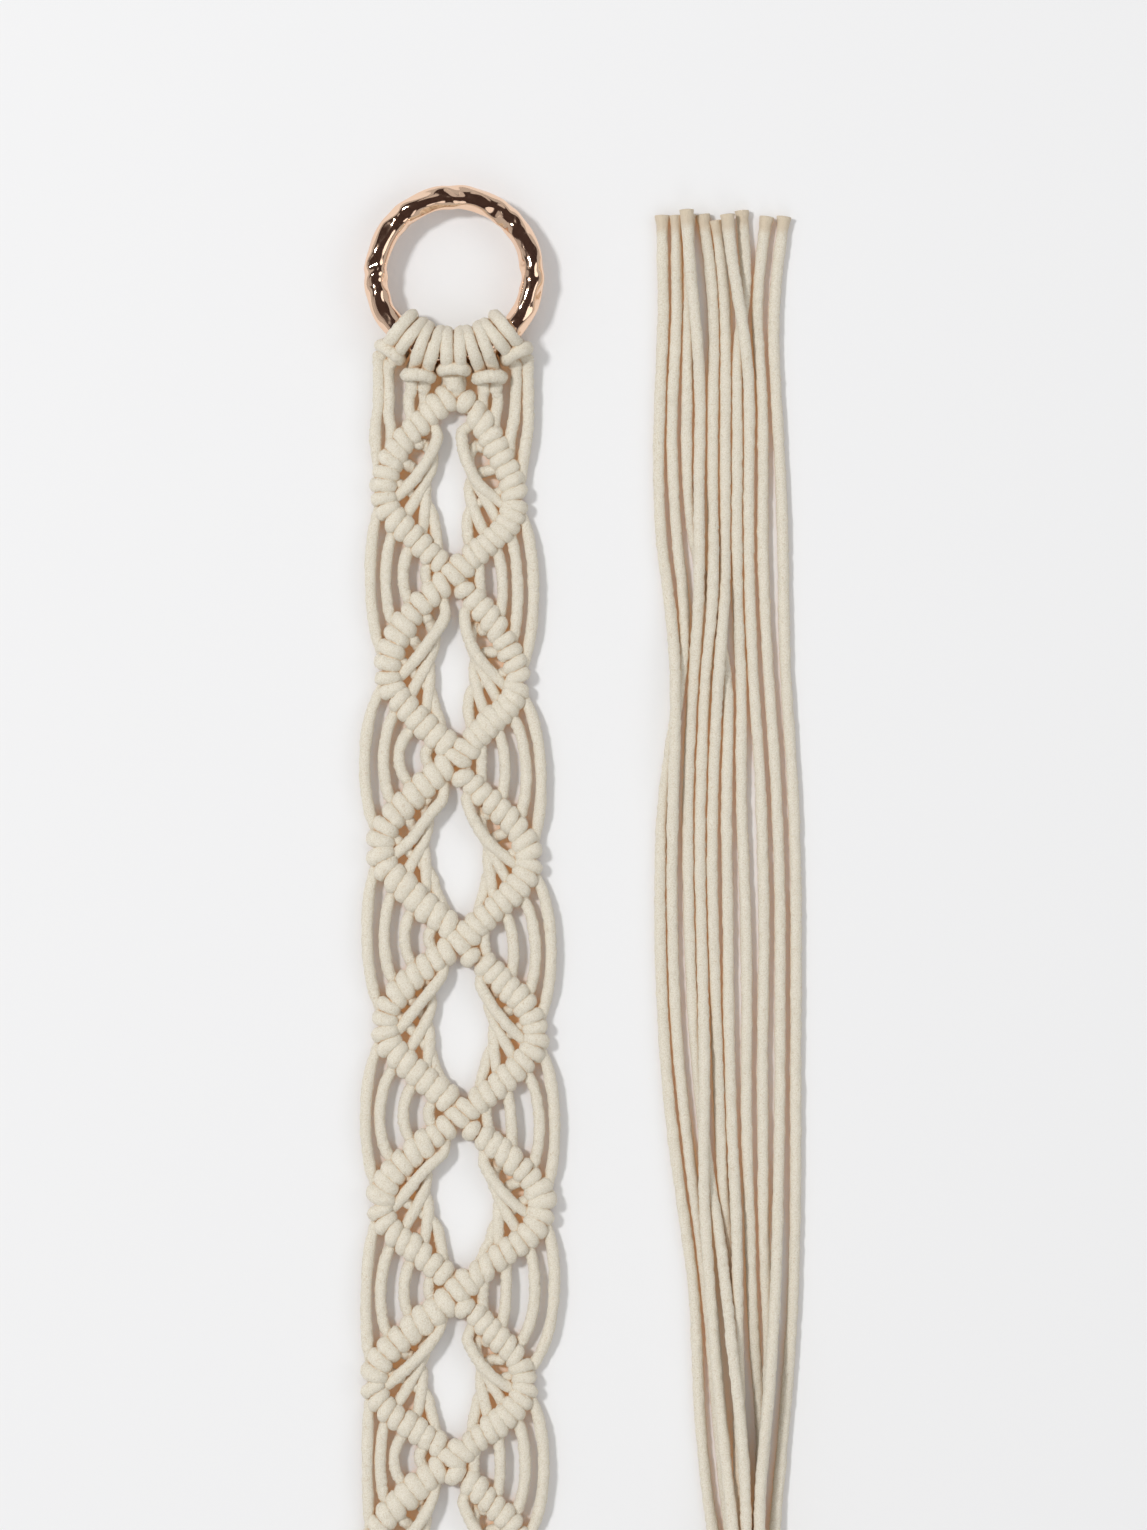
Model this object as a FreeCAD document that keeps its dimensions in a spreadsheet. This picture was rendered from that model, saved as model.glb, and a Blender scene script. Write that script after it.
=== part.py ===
import FreeCAD, Part
import Sketcher
import math
import os

# Hanging planter knotted from one thickness of soft cotton cord, lying flat.
# X runs across the work, Y along it with the ring at the top, Z up from the surface it lies on.
# The origin is under the middle of the ring, the knotted band and the net.
#
# A metal ring carries five cords, each folded in half on it, which makes ten strands.
# They are knotted into a band of seven diamonds, part into five pairs, are tied into a small net
# that holds the pot, pass through a wrapped gathering and end as a long loose fringe.

V = FreeCAD.Vector
Z_AXIS = V(0, 0, 1)
DIAMONDS = 7
ROWS_OF_KNOTS = 4

doc = FreeCAD.newDocument("macrame_planter")
sheet = doc.addObject("Spreadsheet::Sheet", "sizes")


def set_sizes(rows):
    for number, (alias, value, note) in enumerate(rows, start=1):
        sheet.set("A%d" % number, note)
        sheet.set("B%d" % number, str(value))
        sheet.setAlias("B%d" % number, alias)
    doc.recompute()


set_sizes([
    ("cord_diameter", 3.8, "a 4 mm cotton cord, pulled out"),
    ("ring_opening", 44.0, "inside of the metal ring"),
    ("ring_tube", 8.0, "thickness of the ring's bar"),
    ("hitch_clearance", 0.3, "between the ring's bar and the loops round it"),
    ("hitch_spacing", 19.5, "degrees from one lark's head to the next"),
    ("neck_gap", 9.0, "from the ring's hitches down to the first crossing knot"),
    ("band_pitch", 58.8, "from one crossing knot to the next"),
    ("band_half_width", 25.8, "from the band's middle to the corner of a diamond"),
    ("knot_bar", 7.8, "thickness of a row of double half hitches"),
    ("crossing_length", 10.4, "length of a crossing knot along its leader"),
    ("knot_gap", 0.6, "slack between a crossing knot and the rows that meet it"),
    ("corner_radius", 5.0, "how the leader turns at the corner of a diamond"),
    ("net_knot_width", 12.0, "across an overhand knot in two cords"),
    ("net_knot_length", 15.0, "along an overhand knot in two cords"),
    ("net_knot_round", 4.0, "rounding of a net knot"),
    ("wrap_length", 24.0, "length of the gathering wrap"),
    ("wrap_bore_height", 11.6, "opening of the wrap, through the bundle"),
    ("wrap_bore_width", 16.2, "opening of the wrap, across the bundle"),
])

# Where the work lies: the band's foot, the gathering, and the height of the ring's middle,
# which rests on the cord that passes under it.
BAND_X = -46.0
BAND_FOOT_Y = -166.3
GATHER_X = 50.3
GATHER_Y = -187.0

# How far each crossing knot and each corner lies from its even place, because the band was
# laid down by hand: (x, y) for the crossings from the top, then for the left and right corners.
CROSSING_SHIFTS = [
    (-2.8, -0.2), (-0.1, 0.3), (1.3, -1.9), (2.0, -4.8),
    (1.3, -3.7), (0.8, -2.6), (-0.9, 0.0), (-1.3, 0.0),
]
LEFT_SHIFTS = [
    (1.3, -0.7), (0.2, 0.7), (-3.4, 0.0), (-0.9, 1.5), (-2.8, -0.9), (-3.4, 1.4), (-2.4, 0.2),
]
RIGHT_SHIFTS = [
    (-3.7, -1.9), (-6.1, -4.0), (-1.9, -2.2), (-0.5, -1.9), (1.9, -1.6), (-3.7, -4.6), (-1.4, -2.8),
]

# Strands inside a diamond, from the one tied nearest the top: how far each bulges towards the
# middle, and the height it lies at, since the first lies over the second and so on.
STRAND_BULGES = [0.0, 2.0, 3.0, 4.0]
STRAND_HEIGHTS = [5.7, 4.5, 3.3, 2.1]

# Loops beside a crossing knot, from the inner one: distance out from the crossing on each side,
# and half the height of the stretch that runs straight down.
LEFT_LOOP_REACH = [12.5, 18.3, 24.1, 29.3]
RIGHT_LOOP_REACH = [11.0, 16.0, 21.0, 26.0]
LOOP_HALF_HEIGHTS = [0.0, 3.0, 6.0, 8.0]
LOOP_HEIGHT = 3.0

# Middles of the overhand knots that tie the net: one in each pair, then one between neighbours.
ARM_KNOTS = [(29.0, -289.0), (40.0, -305.0), (50.5, -289.0), (61.0, -305.0), (71.5, -289.0)]
POCKET_KNOTS = [(34.0, -247.0), (45.0, -231.0), (56.0, -247.0), (66.5, -231.0), (77.5, -247.0)]
NET_KNOT_HEIGHT = 6.2

# Space between a strand's start and the hitch above it, which swings away with the ring.
NECK_CLEARANCE = 0.8

# The ten cords below the band, end to end: out of the last diamond, round to the right and up
# to the pair's knot, across to the pocket's knot and into the gathering.
CRADLE_ROUTES = {
    1: [
        (-41.1, -159.2, 3.9), (-39.8, -173, 2.4), (-39.4, -196, 2), (-38.9, -227, 2),
        (-39.9, -261, 2), (-39.4, -295, 2), (-39.6, -331.3, 2), (-23.9, -352.9, 2),
        (1.4, -361.1, 2), (26.7, -352.9, 2), (42.4, -331.3, 2), (42.3, -318, 3.6),
        (42, -303, 6.2), (42.3, -284, 6.2), (42.9, -260, 6.2), (43, -231, 6.2), (43.6, -216, 5.6),
        (46.2, -200.5, 6.1), (46.35, -187, 6.15),
    ],
    2: [
        (-30.7, -147.4, 3.9), (-28.9, -161, 2.4), (-29, -184, 2), (-28.9, -217, 2),
        (-29.9, -256, 2), (-29.4, -292, 2), (-29.6, -328.1, 2), (-17.8, -344.4, 2),
        (1.4, -350.6, 2), (20.6, -344.4, 2), (31.8, -327.6, 2), (31.6, -308, 3.2),
        (31.1, -289, 6.2), (31.2, -268, 6.2), (31.8, -246, 6.2), (32.8, -229, 6.4),
        (38, -213.5, 7.8), (43.6, -200.5, 9.5), (44.37, -187, 9.6),
    ],
    3: [
        (-44.6, -168.2, 3.9), (-45.4, -182, 2.3), (-44.9, -205, 2), (-44.2, -234, 2),
        (-45.2, -265, 2), (-44.7, -297, 2), (-45, -333.1, 2), (-27.3, -357.5, 2),
        (1.4, -366.8, 2), (30.1, -357.5, 2), (47.8, -333.1, 2), (48.3, -309, 3.2),
        (48.4, -289, 6.2), (48.1, -268, 6.2), (47.4, -248, 6.2), (47.1, -229, 6.4),
        (47.6, -213, 8.2), (48.3, -200, 9.5), (48.32, -187, 9.6),
    ],
    4: [
        (-49, -167.5, 3.9), (-50.3, -181, 2.3), (-49.7, -203, 2), (-48.6, -232, 2),
        (-49.6, -264, 2), (-49, -296, 2), (-49.2, -334.4, 2), (-29.9, -361.1, 2),
        (1.4, -371.2, 2), (32.7, -361.1, 2), (52, -334.4, 2), (52.5, -309, 3.2),
        (52.6, -289, 6.2), (53, -268, 6.2), (53.9, -246, 6.2), (53.4, -229, 7.6),
        (51.3, -214, 11.2), (50.3, -200.5, 12.9), (50.3, -187, 13.05),
    ],
    5: [
        (-35.9, -153.3, 3.9), (-34.9, -167, 2.4), (-35.1, -190, 2), (-34.8, -222, 2),
        (-35.8, -258, 2), (-35.2, -293, 2), (-35.4, -330, 2), (-21.3, -349.3, 2),
        (1.4, -356.7, 2), (24.1, -349.3, 2), (38.2, -330, 2), (38.3, -318, 3.6), (38, -303, 6.2),
        (37.6, -284, 6.2), (36.6, -264, 6.2), (36.1, -244, 6.4), (36.8, -227, 8.4),
        (41.6, -212.5, 11.4), (45.8, -200, 12.9), (46.35, -187, 13.05),
    ],
    6: [
        (-25.5, -141.4, 3.9), (-24.3, -156, 2.4), (-24.6, -180, 2), (-24.5, -214, 2),
        (-25.5, -254, 2), (-25, -291, 2), (-25.2, -326.6, 2), (-15, -340.6, 2), (1.4, -346, 2),
        (17.8, -340.6, 2), (27.4, -326, 2), (27.2, -308, 3.2), (27, -292, 4.6), (28.5, -277, 2.2),
        (38, -268, 2), (51.5, -264.3, 2), (64, -262, 2), (73, -254.5, 2.5), (75.6, -242, 5.8),
        (74.8, -229, 3), (68.5, -216.5, 2.2), (58.8, -207, 3.4), (51.8, -199.4, 5.6),
        (50.3, -187, 6.15),
    ],
    7: [
        (-53.6, -159.3, 3.9), (-55.6, -173, 2.4), (-55.3, -196, 2), (-54.1, -226, 2),
        (-55.1, -261, 2), (-54.4, -295, 2), (-54.6, -336.2, 2), (-33.2, -365.7, 2),
        (1.4, -376.9, 2), (36, -365.7, 2), (57.4, -336.2, 2), (58.8, -319, 3.6),
        (58.9, -303, 6.2), (58.7, -284, 6.2), (58.3, -264, 6.2), (58, -246, 6.2),
        (57.6, -229, 6.6), (55, -214, 8.4), (52.6, -200.5, 9.5), (52.28, -187, 9.6),
    ],
    8: [
        (-69.4, -141.7, 3.9), (-70.6, -157, 2.4), (-70.3, -182, 2), (-68.7, -216, 2),
        (-69.7, -256, 2), (-69, -294, 2), (-69.1, -340.9, 2), (-42.2, -378, 2), (1.4, -392.1, 2),
        (45, -378, 2), (71.6, -341, 2), (73.4, -308, 3.2), (73.6, -289, 6.2), (75.4, -268, 6.2),
        (79.2, -252, 6.2), (79.8, -238, 5.6), (78.8, -225, 3), (74, -213.5, 2.2),
        (64.8, -205, 3.2), (57, -199.3, 5.5), (54.25, -187, 6.15),
    ],
    9: [
        (-58.9, -153.5, 3.9), (-59.9, -167, 2.4), (-59.6, -190, 2), (-58.4, -221, 2),
        (-59.4, -258, 2), (-58.7, -294, 2), (-58.9, -337.6, 2), (-35.9, -369.3, 2),
        (1.4, -381.4, 2), (38.7, -369.3, 2), (61.7, -337.6, 2), (62.9, -319, 3.6),
        (63, -303, 6.2), (63.2, -284, 6.2), (63.8, -264, 6.2), (64.4, -246, 6.2),
        (64.6, -230, 6.6), (63.2, -218, 9.2), (58.8, -208.5, 12), (54.7, -199.5, 12.9),
        (54.25, -187, 13.05),
    ],
    10: [
        (-64.2, -147.6, 3.9), (-66, -162, 2.4), (-65.9, -186, 2), (-64.4, -218, 2),
        (-65.4, -257, 2), (-64.7, -294, 2), (-64.8, -339.5, 2), (-39.5, -374.3, 2),
        (1.4, -387.6, 2), (42.3, -374.3, 2), (67.3, -339.5, 2), (69.2, -308, 3.2),
        (69.5, -289, 6.2), (69.2, -268, 6.2), (68.8, -248, 6.2), (68.5, -231, 6.2),
        (66.8, -219, 6.4), (61.8, -208.5, 8), (57, -199.8, 9.5), (56.23, -187, 9.6),
    ],
}

# The ten cords of the fringe, from inside the gathering up to their cut ends.
FRINGE_ROUTES = {
    1: [
        (46.35, -187, 6.15), (46.3, -167, 6), (45.3, -149.7, 3.6), (43.7, -129.7, 2),
        (41.5, -109.7, 2), (39.7, -89.7, 2), (38, -69.7, 2), (36.3, -51.3, 2), (34.3, -34.7, 2),
        (32, -18, 2), (29.7, 0.3, 2), (27.5, 20.7, 2), (25.8, 43.7, 2), (25, 68.7, 2),
        (25, 92, 2.4), (25.3, 112.7, 6), (26, 132, 6), (26.1, 152, 6), (25.3, 166.3, 3.6),
        (23.7, 180.3, 2), (21.3, 197, 2), (20.5, 217, 2), (20.7, 237, 2), (21.5, 255.3, 2),
        (22.3, 273.7, 2), (21.8, 289.7, 2), (21.7, 304.7, 2),
    ],
    2: [
        (44.37, -187, 9.6), (43.7, -164.7, 8.8), (41, -146.3, 4), (37.7, -128, 2),
        (35, -104.7, 2), (33.7, -84.7, 2), (33.2, -64.7, 2), (31.7, -46.3, 2), (28.8, -27.3, 2),
        (25.3, -1.7, 2), (23, 20.7, 2), (21.7, 43.7, 2), (21, 67, 2), (21, 88.7, 2),
        (21.8, 107, 2), (23.7, 123, 2), (26.3, 138.7, 2), (28.4, 153, 2), (29.3, 166.3, 2),
        (28.7, 179.7, 2), (26.7, 195.3, 2), (25.3, 217, 2), (24.8, 237, 2), (25.8, 255.3, 2),
        (26.7, 273.7, 2), (26.5, 289.7, 2), (26.3, 304.7, 2),
    ],
    3: [
        (48.32, -187, 9.6), (48.4, -166.3, 9.6), (48.3, -148, 8), (48, -128, 6), (47.7, -108, 6),
        (47.3, -88, 6), (46.8, -68, 6), (46.7, -49.7, 6), (46.4, -32.3, 6), (45.7, -16.3, 4.4),
        (44.9, 0.3, 2), (44.3, 20.7, 2), (43.8, 43.7, 2), (43.7, 67, 2), (43.2, 93.7, 2),
        (43.2, 115.3, 2), (43.8, 136.3, 2), (43.3, 152, 2), (41, 164.7, 2), (37.7, 176, 2),
        (34, 188.3, 2), (31.3, 202, 2), (30, 217.7, 2), (29.8, 237, 2), (30.2, 255.3, 2),
        (30.6, 273.7, 2), (30.7, 289.7, 2), (30.5, 305, 2),
    ],
    4: [
        (50.3, -187, 13.05), (50.3, -167, 13), (50.1, -149.7, 11.6), (49.5, -133, 10),
        (49.2, -118, 10), (48.3, -103, 10), (46.7, -87.3, 10), (44.8, -72, 10),
        (43.5, -58.7, 8.4), (42.3, -48.3, 6.4), (41.2, -38, 6), (39.7, -28.3, 4.4),
        (37.8, -18, 2.4), (36.3, -6.3, 2), (34.8, 7, 2), (33.2, 23.7, 2), (31.6, 43.7, 2),
        (30.8, 66.3, 2), (30.3, 87, 2), (30.2, 107, 2), (30.7, 125.3, 2), (31.6, 142, 2),
        (32.9, 160.3, 3), (33.9, 175.3, 6), (34, 189.7, 6), (33.9, 205.3, 6), (33.9, 217.7, 3.2),
        (34.3, 230.3, 2), (34.3, 245.3, 2.4), (33.6, 261.3, 5.6), (32, 277, 6), (30.5, 292, 6),
        (29.7, 306.3, 6),
    ],
    5: [
        (46.35, -187, 13.05), (46.3, -165.7, 13), (46, -146.3, 11.6), (44.7, -126.3, 10),
        (42.3, -104.7, 6.8), (40.3, -84.7, 6), (38.7, -64.7, 6), (37, -44.7, 6), (35.6, -24.7, 6),
        (35.4, -6.3, 6), (35.7, 12, 6), (35.6, 28.7, 5.6), (35.4, 43.7, 2.8), (34.8, 66.3, 2),
        (34.3, 83.7, 2), (34.3, 102, 2), (34.8, 122, 2), (35.5, 139.7, 2), (36.5, 155.3, 3.6),
        (38, 169.7, 6), (38.7, 186.3, 6), (38.7, 200.3, 3.6), (38.4, 213.7, 2), (38.6, 230.3, 2),
        (38.7, 248.7, 2), (39, 267, 2), (38.3, 282, 2), (36.8, 295.3, 2), (35.2, 305, 2),
    ],
    6: [
        (50.3, -187, 6.15), (50.3, -167, 6), (49.3, -149.7, 3.6), (47.8, -129.7, 2),
        (47.2, -109.7, 2), (47, -91.3, 2), (46.3, -73, 2), (45.7, -58, 2), (44.5, -43, 2),
        (43, -29, 2), (41.8, -15.7, 2), (41, 0.3, 2), (40.3, 20.7, 2), (39.5, 43.7, 2),
        (38.8, 66.3, 2), (38.4, 83.7, 2), (38.4, 102, 2), (38.9, 122, 2), (39.7, 138.7, 3.2),
        (40.6, 154.3, 6), (41.9, 169.7, 6), (42.6, 183, 4), (42.6, 197, 2), (42.8, 213.7, 2),
        (42.7, 230.3, 2), (42.8, 247, 2), (42.9, 265.3, 2), (42.3, 280.3, 2), (41, 292, 2),
        (39.7, 303, 2),
    ],
    7: [
        (52.28, -187, 9.6), (52.3, -167, 9.4), (52.5, -149.7, 8), (53.2, -133, 6.4),
        (54.3, -118, 6), (56, -101.3, 6), (57.2, -83.7, 6), (57, -64.7, 2.8), (56, -46.3, 2),
        (55.3, -27.3, 2), (55.3, -1.7, 2), (55, 20.7, 2), (55.4, 43.7, 2), (55.7, 66.3, 2),
        (55.5, 83.7, 2), (55, 102, 2), (54.2, 122, 2), (52.7, 140.3, 2), (51.6, 160.3, 2),
        (51, 177, 2), (50.6, 193.7, 2), (50.5, 212, 2), (50.8, 230.3, 2), (50.7, 247.7, 3.2),
        (49.1, 264.3, 6), (46.7, 278.7, 6), (44.5, 292, 6), (43.2, 304.7, 6),
    ],
    8: [
        (54.25, -187, 6.15), (54.3, -167, 5.9), (54, -148, 3.2), (54, -128, 2), (54.7, -111.3, 2),
        (54.7, -96.3, 2), (53.5, -82.3, 2), (52, -64.7, 2), (51.3, -46.3, 2), (50.7, -24.7, 2),
        (49.8, -1.7, 2), (49.7, 20.7, 2), (50, 43.7, 2), (49.7, 66.3, 2), (49, 85.3, 2),
        (48.2, 105.3, 2), (48, 125.3, 2), (48.2, 145.3, 2), (47.3, 165.3, 2), (46.7, 183.7, 2),
        (46.6, 202, 2), (46.8, 223.7, 2), (46.7, 242, 2), (46.8, 255.3, 2), (47.5, 265.3, 2),
        (49, 274.3, 2), (49.7, 284.3, 2), (49.1, 295.3, 2), (48.2, 306.3, 2),
    ],
    9: [
        (54.25, -187, 13.05), (54.3, -167, 13), (54.2, -147, 11.6), (53.7, -126.3, 10),
        (54.7, -109.7, 10), (56.2, -94.7, 10), (57.5, -80.3, 10), (58.8, -61.3, 6.8),
        (59.7, -43.7, 6), (60.2, -25.7, 3.2), (60.8, -1.7, 2), (61, 20.7, 2), (61, 43.7, 2),
        (61.1, 66.3, 2), (60.8, 83.7, 2), (60.3, 102, 2), (59.3, 122, 2), (58, 139.7, 2),
        (56.7, 158.7, 2), (55.8, 177, 2), (55.2, 193.7, 2), (55.3, 210.3, 2), (55.3, 227, 2),
        (55.2, 242, 2), (54.3, 255.3, 2), (53.3, 267.7, 2), (53.7, 280.3, 2), (54.8, 293, 2),
        (56.5, 304.3, 2),
    ],
    10: [
        (56.23, -187, 9.6), (56.5, -166.3, 9.5), (57.7, -147, 6), (59.7, -126.3, 2),
        (61.7, -104.7, 2), (63.2, -86.3, 2), (64.5, -69.7, 2), (65.5, -49.7, 2), (66, -27.3, 2),
        (66.2, -1.7, 2), (66.1, 20.7, 2), (66.3, 43.7, 2), (66.3, 66.3, 2), (66.2, 83.7, 2),
        (65.8, 102, 2), (64.8, 122, 2), (63.5, 139.7, 2), (62.5, 158.7, 2), (62.2, 177, 2),
        (62, 193.7, 2), (61.3, 215.3, 2), (60.3, 233.7, 2), (59.4, 248.7, 2), (58.7, 263.7, 2),
        (59.2, 278.7, 2), (60.7, 293, 2), (62.3, 304.3, 2),
    ],
}

TAU = 2 * math.pi
CORD_RADIUS = sheet.cord_diameter / 2
KNOT_RADIUS = sheet.knot_bar / 2
RING_RADIUS = (sheet.ring_opening + sheet.ring_tube) / 2
LOOP_RADIUS = sheet.ring_tube / 2 + sheet.hitch_clearance + CORD_RADIUS
RING_HEIGHT = LOOP_RADIUS + CORD_RADIUS
ARC_SHARE = 0.45
subparts = []


def keep(thing, label, placement=None):
    """Names a finished sub-part, places it and lists it for writing."""
    thing.Label = label
    if placement is not None:
        thing.Placement = placement
    subparts.append(thing)
    return thing


# ---------------------------------------------------------------- where the band's points lie

def crossing_point(number):
    """Middle of crossing knot 1 (top) to 8 (foot)."""
    shift_x, shift_y = CROSSING_SHIFTS[number - 1]
    even_y = BAND_FOOT_Y + (DIAMONDS + 1 - number) * sheet.band_pitch
    return V(BAND_X + shift_x, even_y + shift_y, KNOT_RADIUS)


def corner_point(number, side):
    """Outer corner of diamond 1 to 7 on the left (side -1) or right (side 1)."""
    shift_x, shift_y = (LEFT_SHIFTS if side < 0 else RIGHT_SHIFTS)[number - 1]
    middle = (crossing_point(number) + crossing_point(number + 1)) / 2
    return middle + V(side * sheet.band_half_width + shift_x, shift_y, 0)


def knot_on_row(crossing, corner, place):
    """Middle of one knot on the row from a crossing to a corner, place 1 next to the crossing."""
    along = corner - crossing
    first = sheet.crossing_length / 2 + sheet.knot_gap
    step = (along.Length - first) / ROWS_OF_KNOTS
    return crossing + along.normalize() * (first + (place - 0.5) * step)


# ---------------------------------------------------------------- cords

def rounded_path(points, radius=None):
    """Straight runs joined by tangent arcs; without a radius each is as large as its runs allow."""
    spots = [V(*point) for point in points]
    edges = []
    radii = []
    start = spots[0]
    for before, corner, after in zip(spots, spots[1:], spots[2:]):
        run_in = corner - before
        run_out = after - corner
        half_turn = run_in.getAngle(run_out) / 2
        cut = ARC_SHARE * min(run_in.Length, run_out.Length)
        if radius is not None:
            cut = radius * math.tan(half_turn)
        bend = cut / math.tan(half_turn)
        way_in = run_in.normalize()
        way_out = run_out.normalize()
        inward = (way_out - way_in).normalize()
        middle = corner + inward * (bend / math.cos(half_turn) - bend)
        entry = corner - way_in * cut
        leave = corner + way_out * cut
        edges.append(Part.LineSegment(start, entry).toShape())
        edges.append(Part.Arc(entry, middle, leave).toShape())
        radii.append(bend)
        start = leave
    edges.append(Part.LineSegment(start, spots[-1]).toShape())
    return Part.Wire(edges), radii


def tube(points, tube_radius, radius=None):
    """A round solid along a path, checked against its section times its length."""
    path, radii = rounded_path(points, radius)
    direction = V(*points[1]) - V(*points[0])
    outline = Part.Wire(Part.makeCircle(tube_radius, V(*points[0]), direction))
    solid = path.makePipeShell([outline], True, False)
    expected = math.pi * tube_radius ** 2 * path.Length
    if abs(solid.Volume - expected) > 0.01 * expected:
        raise ValueError("a tube's volume %.1f isn't %.1f" % (solid.Volume, expected))
    return solid, path.Length, radii


def tube_feature(label, solids):
    """One sub-part from solids that no single feature makes."""
    thing = doc.addObject("Part::Feature", label)
    thing.Shape = solids[0] if len(solids) == 1 else Part.makeCompound(solids)
    return keep(thing, label, FreeCAD.Placement())


def free_cord(label, points):
    solid, length, radii = tube(points, CORD_RADIUS)
    tube_feature(label, [solid])
    print("%s length %.0f mm, smallest bend radius %.1f mm" % (label, length, min(radii)))


# ---------------------------------------------------------------- shared PartDesign steps

def origin_plane(body, role):
    return next(item for item in body.Origin.OriginFeatures if item.Role == role)


def new_sketch(body, label, role):
    sketch = body.newObject("Sketcher::SketchObject", label)
    sketch.AttachmentSupport = [(origin_plane(body, role), "")]
    sketch.MapMode = "FlatFace"
    return sketch


def bound_circle(sketch, centre_x, radius_expression, distance_expression=None):
    """A circle on the sketch's X axis whose radius, and place if wanted, follow the sheet."""
    edge = sketch.addGeometry(Part.Circle(V(centre_x, 0, 0), Z_AXIS, 1.0))
    sketch.addConstraint(Sketcher.Constraint("PointOnObject", edge, 3, -1))
    size = sketch.addConstraint(Sketcher.Constraint("Radius", edge, 1.0))
    sketch.setExpression("Constraints[%d]" % size, radius_expression)
    place = sketch.addConstraint(Sketcher.Constraint("DistanceX", -1, 1, edge, 3, centre_x))
    if distance_expression is not None:
        sketch.setExpression("Constraints[%d]" % place, distance_expression)


def rounded_bar(label, width_expression, length_expression, round_expression):
    """A short bar along its own Z, round in section with rounded rims, centred on its origin."""
    body = doc.addObject("PartDesign::Body", label)
    sketch = new_sketch(body, label + "_section", "XY_Plane")
    bound_circle(sketch, 0.0, width_expression)
    pad = body.newObject("PartDesign::Pad", label + "_pad")
    pad.Profile = sketch
    pad.Midplane = True
    pad.setExpression("Length", length_expression)
    doc.recompute()
    rims = body.newObject("PartDesign::Fillet", label + "_rims")
    round_edges = [
        "Edge%d" % number
        for number, edge in enumerate(pad.Shape.Edges, start=1)
        if isinstance(edge.Curve, Part.Circle)
    ]
    rims.Base = (pad, round_edges)
    rims.setExpression("Radius", round_expression)
    body.Tip = rims
    return body


def lying_along(direction, place):
    return FreeCAD.Placement(place, FreeCAD.Rotation(Z_AXIS, direction))


# ---------------------------------------------------------------- metal ring

# A turned bar bent into a closed ring: a circle swept round the ring's axis.
TOP_CROSSING = crossing_point(1)
RING_CENTRE = V(
    TOP_CROSSING.x + 1.3,
    TOP_CROSSING.y + RING_RADIUS + sheet.neck_gap + KNOT_RADIUS + 0.5,
    RING_HEIGHT,
)

ring = doc.addObject("PartDesign::Body", "hanging_ring")
ring_section = new_sketch(ring, "ring_section", "XZ_Plane")
bound_circle(ring_section, 20.0, "sizes.ring_tube / 2", "(sizes.ring_opening + sizes.ring_tube) / 2")
ring_turn = ring.newObject("PartDesign::Revolution", "ring_turn")
ring_turn.Profile = ring_section
ring_turn.ReferenceAxis = (ring_section, ["V_Axis"])
ring_turn.Angle = 360.0
ring.Tip = ring_turn
keep(ring, "hanging_ring", FreeCAD.Placement(RING_CENTRE, FreeCAD.Rotation()))

# ---------------------------------------------------------------- lark's heads on the ring

# Each cord is folded in half, and its bight and ends make two loops round the bar with a bar of
# cord across the front. The loops clear the ring, so the ring can be turned through them.
HITCHES = 5


def on_ring(angle_degrees, radius, height):
    """A point below the ring's middle, at an angle from straight down."""
    angle = math.radians(angle_degrees)
    return RING_CENTRE + V(radius * math.sin(angle), -radius * math.cos(angle), height)


def hitch_angle(number):
    return (number - (HITCHES + 1) / 2) * sheet.hitch_spacing


def larks_head(number):
    middle = hitch_angle(number)
    half_step = math.degrees((CORD_RADIUS + 0.1) / RING_RADIUS)
    loops = []
    for side in (-1, 1):
        angle = middle + side * half_step
        tangent = V(math.cos(math.radians(angle)), math.sin(math.radians(angle)), 0)
        loop = doc.addObject("Part::Torus", "loop_%d_%d" % (number, side + 2))
        loop.setExpression(
            "Radius1", "sizes.ring_tube / 2 + sizes.hitch_clearance + sizes.cord_diameter / 2"
        )
        loop.setExpression("Radius2", "sizes.cord_diameter / 2")
        loop.Placement = lying_along(tangent, on_ring(angle, RING_RADIUS, 0))
        loops.append(loop)
    tangent = V(math.cos(math.radians(middle)), math.sin(math.radians(middle)), 0)
    bight = doc.addObject("Part::Cylinder", "bight_%d" % number)
    bight.setExpression("Radius", "sizes.cord_diameter / 2")
    bight.setExpression("Height", "2 * sizes.cord_diameter")
    reach = LOOP_RADIUS * math.sqrt(0.5)
    centre = on_ring(middle, RING_RADIUS + reach, reach)
    bight.Placement = lying_along(tangent, centre - tangent * sheet.cord_diameter)
    knot = doc.addObject("Part::Compound", "larks_head_%d" % number)
    knot.Links = loops + [bight]
    keep(knot, "larks_head_knot_%d" % number)


for hitch in range(1, HITCHES + 1):
    larks_head(hitch)

# ---------------------------------------------------------------- band of seven diamonds


def crossing_knot(number):
    """Two knots where the leaders cross, along the leader that comes from the right."""
    centre = crossing_point(number)
    below = corner_point(min(number, DIAMONDS), -1)
    above = corner_point(max(number - 1, 1), 1)
    direction = above - below
    if number == 1:
        direction = centre - below
    if number == DIAMONDS + 1:
        direction = above - centre
    bar = rounded_bar(
        "crossing_knot_%d" % number, "sizes.knot_bar / 2", "sizes.crossing_length", "sizes.knot_bar / 8"
    )
    keep(bar, "crossing_knot_%d" % number, lying_along(direction.normalize(), centre))


def side_row(number, side):
    """One side of a diamond: the leader's knots from a crossing to the corner and back."""
    corner = corner_point(number, side)
    ends = []
    for crossing in (crossing_point(number), crossing_point(number + 1)):
        way = (corner - crossing).normalize()
        ends.append(crossing + way * (sheet.crossing_length / 2 + sheet.knot_gap))
    solid, _length, _radii = tube([ends[0], corner, ends[1]], KNOT_RADIUS, sheet.corner_radius)
    return solid


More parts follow.
